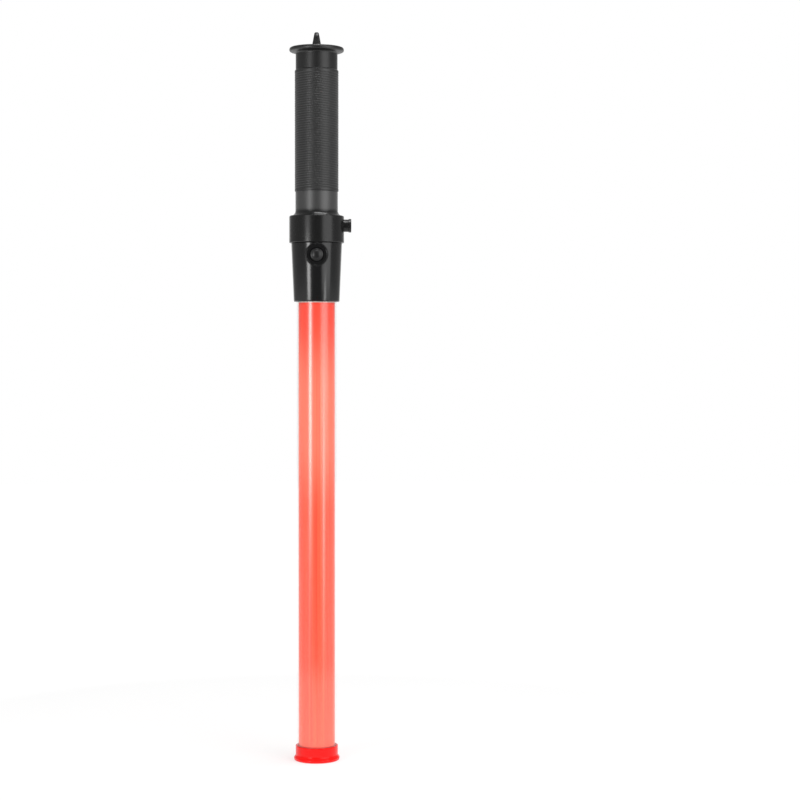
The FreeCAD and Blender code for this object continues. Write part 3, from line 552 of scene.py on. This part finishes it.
def red_cap(name, tint):
    """Glossy translucent red moulding with a faint swirl and a faint painted glow in its own colour."""
    finish = Finish(name)
    swirl = finish.noise(120.0, 4.0)
    grain = finish.noise(1800.0, 2.0)
    base = finish.blend(swirl, shade(tint, 0.88), shade(tint, 1.08))
    # painted glow: a faint emission in the moulding's own colour
    return finish.surface(
        Base_Color=base, Roughness=0.12 + 0.08 * swirl, Normal=finish.bump(grain, 0.006 * MM),
        Emission_Color=base, Emission_Strength=0.06, IOR=1.38,
    )


def plain_plastic(name, tint, roughness=0.5):
    """Moulded plastic with a faint mottle."""
    finish = Finish(name)
    mottle = finish.noise(500.0, 4.0)
    base = finish.blend(mottle, shade(tint, 0.92), shade(tint, 1.05))
    return finish.surface(
        Base_Color=base, Roughness=roughness + 0.1 * mottle, Normal=finish.bump(mottle, 0.01 * MM)
    )


def plated_metal(name, tint, roughness=0.25):
    """Bare or plated metal with fine brushing round the wand's axis and spots of tarnish."""
    finish = Finish(name)
    brushing = finish.noise(1500.0, 3.0, (0.15, 0.15, 1.0))
    tarnish = finish.noise(260.0, 5.0)
    base = finish.blend(tarnish, shade(tint, 0.78), shade(tint, 1.06))
    return finish.surface(
        Base_Color=base, Metallic=1.0, Roughness=roughness + 0.2 * tarnish,
        Normal=finish.bump(brushing, 0.01 * MM),
    )


def circuit_board(name, tint):
    """Lacquered board: tracks a shade lighter than the lacquer between them."""
    finish = Finish(name)
    x, y, z = finish.parts_of_place()
    across, along = x * 1600.0, y * 900.0 + z * 900.0
    track = (across.maths("SINE") * along.maths("SINE")).maths("GREATER_THAN", 0.25)
    base = finish.blend(track, tint, shade(tint, 1.7))
    return finish.surface(Base_Color=base, Roughness=0.3 + 0.1 * track, Normal=finish.bump(track, 0.03 * MM))


def cell_sleeve(name):
    """Battery cell: plain dark sleeve with a gold band, bare steel at both ends."""
    finish = Finish(name)
    x, y, z = finish.parts_of_place()
    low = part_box("cell_1")[0][2]
    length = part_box("cell_1")[1][2] - low
    sleeve_edge, band_start = 12.8 * MM, 0.68
    share = ((z - low) / length).maths("FRACT")
    radius = (x * x + y * y) ** 0.5
    side = radius.maths("GREATER_THAN", sleeve_edge)
    band = share.maths("GREATER_THAN", band_start) * side
    scuff = finish.noise(300.0, 4.0)
    sleeve = finish.blend(band, (0.012, 0.014, 0.02), (0.5, 0.3, 0.07))
    base = finish.blend(side, finish.blend(scuff, (0.5, 0.5, 0.5), (0.65, 0.65, 0.66)), sleeve)
    return finish.surface(
        Base_Color=base, Metallic=1 - 0.85 * side, Roughness=0.28 + 0.12 * scuff,
        Normal=finish.bump(scuff, 0.01 * MM),
    )


# ---- pieces
class WAND_OT_grip(bpy.types.Operator):
    """Ribbed rubber grip with its end flange"""
    bl_idname = "wand.grip"
    bl_label = "Grip"
    bl_options = {"REGISTER", "UNDO"}

    def execute(self, context):
        """Turned outline whose ribbed stretch dips by a bell curve in the middle of every pitch."""
        wand = context.scene.wand
        grip = wand.grip
        low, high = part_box("grip_sleeve")
        plug_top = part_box("tail_plug")[1][2] - wand.eye.height - PLUG_DROP + CLEARANCE
        flange = high[0]
        under = high[2] - grip.flange_height
        rim = (grip.flange_height - grip.flange_slope) / 2
        ribs_end = low[2] + grip.rib_stretch
        count = int(grip.rib_stretch / grip.rib_pitch) - 1
        first = low[2] + (grip.rib_stretch - count * grip.rib_pitch) / 2
        height = np.linspace(first, first + count * grip.rib_pitch, 10 * count + 1)
        share = (height - first) / grip.rib_pitch % 1.0
        dip = grip.rib_depth * np.exp(-((share - 0.5) / 0.17) ** 2)
        ribs = np.stack([grip.rib_radius - dip, height], axis=-1)
        below = rounded([
            (grip.bore, high[2] - 2 * MM, 0), (grip.bore, low[2]), (grip.rib_radius, low[2], 0.35 * MM),
            (grip.rib_radius, first, 0),
        ], closed=False)
        above = rounded([
            (grip.rib_radius, first + count * grip.rib_pitch, 0), (grip.rib_radius, ribs_end, 0.3 * MM),
            (grip.plain_radius, ribs_end + 0.85 * MM, 0.3 * MM), (grip.plain_radius, under, 1.3 * MM),
            (flange - 0.3 * MM, under + grip.flange_slope, rim * 0.8), (flange, high[2] - rim, 0.8 * rim),
            (flange - 0.5 * MM, high[2], rim * 0.8), (0.0, high[2], 0),
        ], closed=False)
        hollow = rounded([
            (0.0, plug_top, 0), (grip.bore, plug_top), (grip.bore, high[2] - 6 * MM, 0),
        ], closed=False)
        outline = np.concatenate([hollow, below[1:], ribs[1:-1], above])
        piece = turned("grip", outline, ends="point", steps=112)
        rubber = soft_rubber("grip rubber", wand.finish.grip, 0.32, ribs_end)
        settle(piece, "handle", "grip_rubber", rubber, "grip_sleeve")
        return {"FINISHED"}


class WAND_OT_handle(bpy.types.Operator):
    """Cell tube, bare neck, flare and threaded collar"""
    bl_idname = "wand.handle"
    bl_label = "Handle"
    bl_options = {"REGISTER", "UNDO"}

    def execute(self, context):
        """Turned outline; the flare is an arc that leaves the neck straight down and ends on the collar."""
        wand = context.scene.wand
        handle, head = wand.handle, wand.head
        low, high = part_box("handle_shell")
        collar = -low[0]
        collar_top = low[2] + handle.collar_height
        ceiling = collar_top - handle.collar_roof
        grip_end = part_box("grip_sleeve")[0][2] - 0.2 * MM
        sweep = (handle.flare_out ** 2 + handle.flare_height ** 2) / (2 * handle.flare_out)
        reach = math.degrees(math.asin(handle.flare_height / sweep))
        centre = (handle.neck_radius + sweep, collar_top + handle.flare_height)
        flare = arc_points(centre, sweep, 180 + reach, 180, 14)
        lower = rounded([
            (handle.collar_bore, ceiling - MM, 0), (handle.collar_bore, low[2], 0.2 * MM),
            (collar, low[2], 0.55 * MM), (collar, collar_top, 1.3 * MM), (*flare[0], 0),
        ], closed=False)
        upper = rounded([
            (*flare[-1], 0), (handle.neck_radius, grip_end), (handle.tube_radius, grip_end),
            (handle.tube_radius, high[2]), (handle.cell_bore, high[2]), (handle.cell_bore, ceiling),
            (handle.collar_bore, ceiling), (handle.collar_bore, ceiling - 0.5 * MM, 0),
        ], closed=False)
        satin = hard_black("satin black", wand.finish.satin, 0.22, 0.01 * MM, collar_top + handle.flare_height)
        piece = turned("handle_body", np.concatenate([lower, flare[1:-1], upper]), steps=224)
        settle(piece, "handle", "black_satin", satin, "handle_shell")
        wall, crest = handle.collar_bore, handle.collar_bore - head.thread_depth
        thread = ridge(
            "collar_thread", wall, crest, thread_start(head), head.thread_pitch, head.thread_turns, math.pi
        )
        settle(thread, "handle", "black_satin", satin)
        return {"FINISHED"}


class WAND_OT_stud(bpy.types.Operator):
    """Magnet stud on the collar's side, with the magnet in its end"""
    bl_idname = "wand.stud"
    bl_label = "Magnet stud"
    bl_options = {"REGISTER", "UNDO"}

    def execute(self, context):
        """Two turned outlines about the stud's own axis."""
        wand = context.scene.wand
        handle = wand.handle
        low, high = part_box("magnet")
        centre = (0.0, 0.0, (low[2] + high[2]) / 2)
        face = high[0]
        magnet = (high[2] - low[2]) / 2
        lip = handle.stud_radius + handle.stud_lip
        pocket = magnet + CLEARANCE
        root = handle.collar_bore + 0.35 * MM
        outline = rounded([
            (0.0, root, 0), (handle.stud_radius, root),
            (handle.stud_radius, face - handle.lip_height, 0.2 * MM),
            (lip, face - handle.lip_height, 0.15 * MM), (lip, face, 0.25 * MM), (pocket, face, 0.15 * MM),
            (pocket, low[0] - CLEARANCE), (0.0, low[0] - CLEARANCE, 0),
        ], closed=False)
        stud = turned("magnet_stud", outline, "side", centre, "point", 96)
        settle(stud, "handle", "black_satin", hard_black("stud black", wand.finish.satin, 0.26, 0.008 * MM))
        outline = rounded([
            (0.0, low[0], 0), (magnet, low[0]), (magnet, face, 0.25 * MM), (0.0, face, 0),
        ], closed=False)
        disc = turned("magnet_disc", outline, "side", centre, "point", 96)
        settle(disc, "handle", "magnet_nickel", plated_metal("dark nickel", (0.16, 0.16, 0.165), 0.3), "magnet")
        return {"FINISHED"}


class WAND_OT_eye(bpy.types.Operator):
    """Lanyard eye and the plug under it"""
    bl_idname = "wand.eye"
    bl_label = "Lanyard eye"
    bl_options = {"REGISTER", "UNDO"}

    def execute(self, context):
        """Ring round the hole with a squarish section: its outside follows an arch with splayed feet.

        Going round the hole by angle a, the arch is ring radius away above the hole, and below it
        the nearer of a splayed side and a level foot. The thickness falls evenly with height.
        """
        wand = context.scene.wand
        eye = wand.eye
        low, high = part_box("tail_plug")
        flange = high[2] - eye.height
        outer = eye.hole_radius + eye.ring
        centre = high[2] - outer
        foot = centre - flange + 1.5 * MM
        around = np.linspace(0, 2 * math.pi, 96, endpoint=False)[:, None]
        section = np.linspace(0, 2 * math.pi, 40, endpoint=False)
        across, rise = np.abs(np.cos(around)), np.sin(around)
        splay = eye.spread / (centre - flange)
        side = outer / np.maximum(across + splay * rise, 1e-3)
        reach = np.where(rise >= 0, outer, np.minimum(side, foot / np.maximum(-rise, 1e-3)))
        swell = np.sign(np.cos(section)) * np.abs(np.cos(section)) ** 0.75
        radius = (reach + eye.hole_radius) / 2 + (reach - eye.hole_radius) / 2 * swell
        height = centre + radius * rise
        share = np.clip((height - flange) / (eye.height - eye.top_thickness / 2), -0.2, 1.1)
        thickness = eye.foot_thickness + (eye.top_thickness - eye.foot_thickness) * share
        width = thickness / 2 * np.sign(np.sin(section)) * np.abs(np.sin(section)) ** 0.75
        ring = surface("lanyard_eye", np.stack([width, radius * np.cos(around), height], axis=-1))
        satin = hard_black("eye black", wand.finish.satin, 0.34, 0.012 * MM)
        settle(ring, "handle", "black_satin", satin, "tail_plug")
        plug_top = flange - PLUG_DROP
        bore, shoulder = wand.handle.cell_bore - CLEARANCE, wand.handle.tube_radius
        tube_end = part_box("handle_shell")[1][2] + 0.1 * MM
        outline = rounded([
            (0.0, low[2], 0), (bore, low[2]), (bore, tube_end), (shoulder, tube_end), (shoulder, plug_top),
            (0.0, plug_top, 0),
        ], closed=False)
        plug = turned("tail_plug_body", outline, ends="point", steps=96)
        settle(plug, "handle", "black_satin", satin)
        return {"FINISHED"}


class WAND_OT_head(bpy.types.Operator):
    """Tapered head, its threaded neck, the button boss and the push button"""
    bl_idname = "wand.head"
    bl_label = "Head and button"
    bl_options = {"REGISTER", "UNDO"}

    def execute(self, context):
        """Turned taper with a round opening, filled by a boss turned about the button's axis."""
        wand = context.scene.wand
        head = wand.head
        low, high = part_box("head_shell")
        gloss = hard_black("gloss black", wand.finish.gloss, 0.16, 0.006 * MM, index=1.5)
        button_low, button_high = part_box("push_button")
        middle = (0.0, 0.0, (button_low[2] + button_high[2]) / 2)
        taper = self.taper(wand, low[2], high[2])
        cut, near, far = head.boss_radius - 0.35 * MM, 10 * MM, 30 * MM
        rod = np.array([(0.0, near), (cut, near), (cut, far), (0.0, far)])
        cutter = turned("cutter", rod, "front", middle, "point", 128)
        cut_away(taper, cutter)
        settle(taper, "head", "black_gloss", gloss, "head_shell")
        settle(self.boss(head, middle), "head", "black_gloss", gloss)
        wall, crest = head.neck_radius, head.neck_radius + head.thread_depth
        start = thread_start(head)
        thread = ridge("neck_thread", wall, crest, start, head.thread_pitch, head.thread_turns, 0.0)
        settle(thread, "head", "black_gloss", gloss)
        button = self.button(head, middle, -button_low[1], -button_high[1], button_high[0])
        rubber = soft_rubber("button rubber", wand.finish.button, 0.26)
        settle(button, "button", "button_rubber", rubber, "push_button")
        return {"FINISHED"}

    def taper(self, wand, low, high):
        """Head's wall: mouth, taper, shoulder, grooved neck, and the bay and tube socket inside."""
        head = wand.head
        shoulder = low + head.length
        seal_low, seal_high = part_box("seal_ring")
        groove_low, groove_high = seal_low[2] - 0.23 * MM, seal_high[2] + 0.23 * MM
        groove = head.neck_radius - 0.5 * MM
        tube_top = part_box("light_tube")[1][2]
        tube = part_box("light_tube")[1][0] + CLEARANCE
        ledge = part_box("lamp_board")[0][2]
        disc_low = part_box("terminal_disc")[0][2]
        disc_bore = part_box("terminal_disc")[1][0] + 0.1 * MM
        lamp_bore = 10.1 * MM
        outline = rounded([
            (tube, low, 0.3 * MM), (head.mouth_radius, low, 1.2 * MM),
            (head.shoulder_radius, shoulder, 0.3 * MM), (head.neck_radius, shoulder, 0.2 * MM),
            (head.neck_radius, groove_low), (groove, groove_low), (groove, groove_high),
            (head.neck_radius, groove_high), (head.neck_radius, high, 0.3 * MM), (disc_bore, high),
            (disc_bore, disc_low), (head.bay_radius, disc_low), (head.bay_radius, ledge), (lamp_bore, ledge),
            (lamp_bore, tube_top), (tube, tube_top),
        ])
        return turned("head_body", outline, steps=256)

    def boss(self, head, middle):
        """Boss: rim, recess and the web that the button comes through."""
        floor = head.boss_face - head.recess_depth
        wall = 1.4 * MM
        web = floor - wall
        hole = head.button_radius + 0.2 * MM
        pocket = hole + wall
        recess = head.boss_radius - head.boss_rim
        back = 12.9 * MM
        outline = rounded([
            (hole, web), (hole, floor, 0.3 * MM), (recess, floor, 0.5 * MM),
            (recess, head.boss_face, 0.25 * MM), (head.boss_radius, head.boss_face, 0.6 * MM),
            (head.boss_radius, back), (pocket, back), (pocket, web),
        ])
        return turned("button_boss", outline, "front", middle, steps=128)

    def button(self, head, middle, front, back, flange):
        """Button: a dome of one radius on a straight stem, a shallow ring groove, and a flange behind."""
        dome = head.button_dome
        sphere = (head.button_radius ** 2 + dome ** 2) / (2 * dome)
        spread = math.degrees(math.asin((head.button_radius - 0.5 * MM) / sphere))
        cap = arc_points((0.0, front - sphere), sphere, 90, 90 - spread, 24)
        groove = 0.18 * MM * np.exp(-((cap[:, 0] - 3.3 * MM) / (0.3 * MM)) ** 2)
        cap[:, 1] -= groove
        rest = rounded([
            (*cap[-1], 0), (head.button_radius, front - dome, 0.5 * MM), (head.button_radius, back + MM),
            (flange, back + MM), (flange, back), (0.0, back, 0),
        ], closed=False)
        outline = np.concatenate([cap[:-1], rest])
        return turned("button_cap", outline, "front", middle, "point", 96)


class WAND_OT_light(bpy.types.Operator):
    """Clear tube, red liner and tip cap"""
    bl_idname = "wand.light"
    bl_label = "Light tube and tip cap"
    bl_options = {"REGISTER", "UNDO"}

    def execute(self, context):
        """Turned tube and cap, and a liner whose inner radius waves round the wand."""
        wand = context.scene.wand
        tube = wand.tube
        low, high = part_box("light_tube")
        outline = rounded([
            (high[0], low[2], 0.2 * MM), (high[0], high[2], 0.2 * MM), (high[0] - tube.wall, high[2]),
            (high[0] - tube.wall, low[2]),
        ])
        clear = turned("clear_tube", outline, steps=224)
        settle(clear, "head", "clear_tube", clear_wall("clear tube"), "light_tube")
        red = red_liner("red liner", wand.finish.liner, tube.flutes)
        settle(self.liner(tube), "head", "red_liner", red, "diffuser_liner")
        settle(self.cap(tube), "head", "red_cap", red_cap("red cap", wand.finish.cap), "tip_cap")
        return {"FINISHED"}

    def liner(self, tube):
        """Tube whose inside radius, at angle a, is the wall's plus half a flute times 1 + cos(flutes * a)."""
        low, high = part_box("diffuser_liner")
        angle = np.linspace(0, 2 * math.pi, 8 * tube.flutes, endpoint=False)
        outer = np.full_like(angle, high[0])
        inner = high[0] - tube.liner_wall + tube.flute_depth * (0.5 + 0.5 * np.cos(tube.flutes * angle))
        edge = FINE_EDGE
        rows = [
            (outer, low[2] + edge), (outer, high[2] - edge), (outer - edge, high[2]), (inner + edge, high[2]),
            (inner, high[2] - edge), (inner, low[2] + edge), (inner + edge, low[2]), (outer - edge, low[2]),
        ]
        radius = np.stack([row[0] for row in rows])
        height = np.broadcast_to(np.array([[row[1]] for row in rows]), radius.shape)
        return surface("red_liner", np.stack([radius * np.cos(angle), radius * np.sin(angle), height], axis=-1))

    def cap(self, tube):
        """Cap: wider lip below, straight side, thin rim round the tube, and a flat floor inside."""
        low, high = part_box("tip_cap")
        lip = high[0]
        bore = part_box("light_tube")[1][0] + CLEARANCE
        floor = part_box("light_tube")[0][2] - 0.2 * MM
        step = lip - tube.cap_radius
        outline = rounded([
            (0.0, low[2], 0), (lip - 0.3 * MM, low[2], 0.8 * MM), (lip, tube.cap_lip, 0.9 * MM),
            (tube.cap_radius, tube.cap_lip + 1.3 * step, 1.8 * MM), (tube.cap_radius, high[2], 0.3 * MM),
            (bore, high[2], 0.15 * MM), (bore, floor, 0.3 * MM), (0.0, floor, 0),
        ], closed=False)
        return turned("tip_cap_body", outline, ends="point", steps=192)


class WAND_OT_inside(bpy.types.Operator):
    """Finishes of the pieces inside: lamps, boards, contacts, wires, screws, cells and seal"""
    bl_idname = "wand.inside"
    bl_label = "Inside pieces"
    bl_options = {"REGISTER", "UNDO"}

    def execute(self, context):
        """A piece takes the finish under its own name, or under its name without the number."""
        wand = context.scene.wand
        colours = wand.finish
        chip = plain_plastic("chip resin", (0.02, 0.02, 0.022), 0.4)
        brass = plated_metal("brass", colours.brass, 0.22)
        steel = plated_metal("steel", colours.steel, 0.25)
        white = plain_plastic("white plastic", colours.reflector, 0.45)
        board = circuit_board("board lacquer", colours.board)
        finishes = {
            "tip_reflector": plated_metal("mirror foil", (0.85, 0.85, 0.86), 0.05),
            "reflector_cup": white, "terminal_disc": white, "switch_plunger": white,
            "lamp_board": board, "switch_board": board, "driver_chip": chip, "switch_body": chip,
            "negative_ring": brass, "positive_contact": brass, "tail_plate": brass, "ground_strip": brass,
            "tail_spring": steel,
            "positive_lead": plain_plastic("red wire", (0.5, 0.02, 0.02), 0.35),
            "negative_lead": plain_plastic("black wire", (0.02, 0.02, 0.02), 0.35),
            "seal_ring": soft_rubber("seal rubber", (0.012, 0.012, 0.012)),
            "lamp": red_cap("lamp resin", (0.8, 0.05, 0.04)),
            "board_screw": steel, "disc_screw": steel, "resistor": chip, "cell": cell_sleeve("cell sleeve"),
        }
        for name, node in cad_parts.items():
            family = name.rstrip("0123456789").rstrip("_")
            finish = finishes.get(name) or finishes.get(family)
            if finish:
                node.data.materials.clear()
                node.data.materials.append(finish)
        return {"FINISHED"}


# ---- studio
class WAND_OT_stage(bpy.types.Operator):
    """Pale floor, white surroundings, five softboxes and the camera"""
    bl_idname = "wand.stage"
    bl_label = "Studio"
    bl_options = {"REGISTER", "UNDO"}

    def execute(self, context):
        """Strips are small and low, panels large and high."""
        studio = context.scene.wand.studio
        self.floor()
        self.surroundings(studio.ambient)
        self.softbox("left strip", studio.left_strip, azimuth=-38.0, area=(0.27, 0.31), height=0.285)
        self.softbox("left panel", studio.left_panel, azimuth=-38.0, area=(0.4, 0.8), height=0.85)
        self.softbox("right panel", studio.right_panel, azimuth=46.0, area=(0.86, 1.1), height=0.75)
        self.softbox("right strip", studio.right_strip, azimuth=42.0, area=(0.12, 0.2), height=0.12)
        self.softbox(
            "top panel", studio.top_panel, azimuth=60.0, area=(0.6, 0.3), height=1.2, distance=0.15, tilt=78.0
        )
        self.camera(studio)
        bpy.context.scene.view_settings.view_transform = "Standard"
        return {"FINISHED"}

    def floor(self):
        """Wide white disc that keeps the wand's shadow near it, and reflects dimly far in front of it.

        Near the wand part of the white is lit paper, which the shadow darkens; farther out all of it glows.
        """
        radius = np.array(FLOOR_RINGS)[:, None]
        angle = np.linspace(0, 2 * math.pi, FLOOR_SIDES, endpoint=False)
        flat = np.zeros((len(FLOOR_RINGS), FLOOR_SIDES))
        grid = np.stack([radius * np.cos(angle), radius * np.sin(angle), flat], axis=-1)
        mesh = bpy.data.meshes.new("floor")
        index = np.arange(flat.size).reshape(flat.shape)
        near, far = index[:-1], index[1:]
        quads = np.stack([near, far, np.roll(far, -1, axis=1), np.roll(near, -1, axis=1)], axis=-1)
        mesh.from_pydata(grid.reshape(-1, 3), [], quads.reshape(-1, 4).tolist())
        floor = bpy.data.objects.new("floor", mesh)
        floor.location.z = -FLOOR_DROP
        bpy.context.scene.collection.objects.link(floor)
        finish = Finish("floor white")
        x, y, z = finish.parts_of_place()
        distance = (x * x + y * y) ** 0.5
        away = finish.ramp(distance, *SHADOW_REACH, 0.0, 1.0)
        dim = away * finish.ramp(0 - y / distance, *FAN, 0.0, 1.0)
        glow = finish.ramp(distance, *SHADOW_REACH, NEAR_WHITE, FAR_WHITE)
        glowing = finish.ramp(distance, *SHADOW_REACH, NEAR_SHARE, FAR_SHARE)
        path = finish.node("ShaderNodeLightPath").socket.node
        camera, glossy, clear = (Signal(finish, path.outputs[name]) for name in PATHS)
        paper = finish.node("ShaderNodeBsdfDiffuse", {}, {"Color": (0.9, 0.9, 0.9, 1.0)})
        strength = camera * glow + clear + glossy * (1 - (1 - FRONT) * dim)
        white = finish.node("ShaderNodeEmission", {}, {"Strength": strength})
        share = finish.node("ShaderNodeClamp", {}, {0: camera * glowing + clear + glossy})
        finish.close(finish.node("ShaderNodeMixShader", {}, {0: share, 1: paper, 2: white}))
        mesh.materials.append(finish.owner)

    def surroundings(self, ambient):
        """World that is white to look at and behind the wand, and dark in front for reflections."""
        world = bpy.data.worlds.new("studio")
        bpy.context.scene.world = world
        finish = Finish("studio", world)
        direction = finish.node("ShaderNodeTexCoord", output="Generated")
        split = finish.node("ShaderNodeSeparateXYZ", {}, {0: direction}).socket.node
        toward_back = Signal(finish, split.outputs["Y"])
        side = finish.ramp(toward_back, -FAN[1], -FAN[0], FRONT, SIDES)
        bright = side + finish.ramp(toward_back, *FAN, 0.0, 1.0 - SIDES)
        path = finish.node("ShaderNodeLightPath").socket.node
        camera, glossy, clear = (Signal(finish, path.outputs[name]) for name in PATHS)
        other = finish.node("ShaderNodeClamp", {}, {0: 1 - camera - glossy - clear})
        seen = finish.node("ShaderNodeClamp", {}, {0: camera + clear})
        strength = seen + (1 - seen) * glossy * bright + other * ambient
        sky = finish.node("ShaderNodeBackground", {}, {"Color": (1.0, 1.0, 1.0, 1.0), "Strength": strength})
        finish.close(sky, "ShaderNodeOutputWorld")

    def softbox(self, name, brightness, azimuth, area, height, distance=1.1, tilt=0.0):
        """Rectangular lamp facing the wand's axis and tilted down. Azimuth goes from the front towards +X."""
        lamp = bpy.data.lights.new(name, "AREA")
        lamp.shape = "RECTANGLE"
        lamp.size, lamp.size_y = area
        lamp.energy = brightness * math.pi * area[0] * area[1]
        holder = bpy.data.objects.new(name, lamp)
        turn = math.radians(azimuth)
        holder.location = (distance * math.sin(turn), -distance * math.cos(turn), height)
        holder.rotation_euler = Euler((math.pi / 2 - math.radians(tilt), 0.0, turn))
        holder.visible_camera = False
        bpy.context.scene.collection.objects.link(holder)

    def camera(self, studio):
        """Camera a little above the wand's middle, turned slightly to the side and down."""
        lens = bpy.data.cameras.new("camera")
        lens.lens = studio.lens
        camera = bpy.data.objects.new("camera", lens)
        camera.location = (0.0, -studio.camera_distance, studio.camera_height)
        camera.rotation_euler = Euler([math.radians(angle) for angle in CAMERA_ANGLES])
        bpy.context.scene.collection.objects.link(camera)
        bpy.context.scene.camera = camera


OPERATORS = (
    WAND_OT_grip, WAND_OT_handle, WAND_OT_stud, WAND_OT_eye, WAND_OT_head, WAND_OT_light, WAND_OT_inside,
    WAND_OT_stage,
)


class WAND_PT_sidebar(bpy.types.Panel):
    """Buttons for the wand's pieces and studio"""
    bl_idname = "WAND_PT_sidebar"
    bl_label = "Traffic wand"
    bl_space_type = "VIEW_3D"
    bl_region_type = "UI"
    bl_category = "Wand"

    def draw(self, context):
        for operator in OPERATORS:
            self.layout.operator(operator.bl_idname)


CLASSES = (
    WandGrip, WandHandle, WandHead, WandTube, WandEye, WandFinish, WandStudio, WandSettings, *OPERATORS,
    WAND_PT_sidebar,
)


def register():
    for item in CLASSES:
        bpy.utils.register_class(item)
    bpy.types.Scene.wand = PointerProperty(type=WandSettings)


def unregister():
    del bpy.types.Scene.wand
    for item in reversed(CLASSES):
        bpy.utils.unregister_class(item)


def main():
    register()
    for operator in OPERATORS:
        group, name = operator.bl_idname.split(".")
        getattr(getattr(bpy.ops, group), name)()


if __name__ == "__main__":
    main()
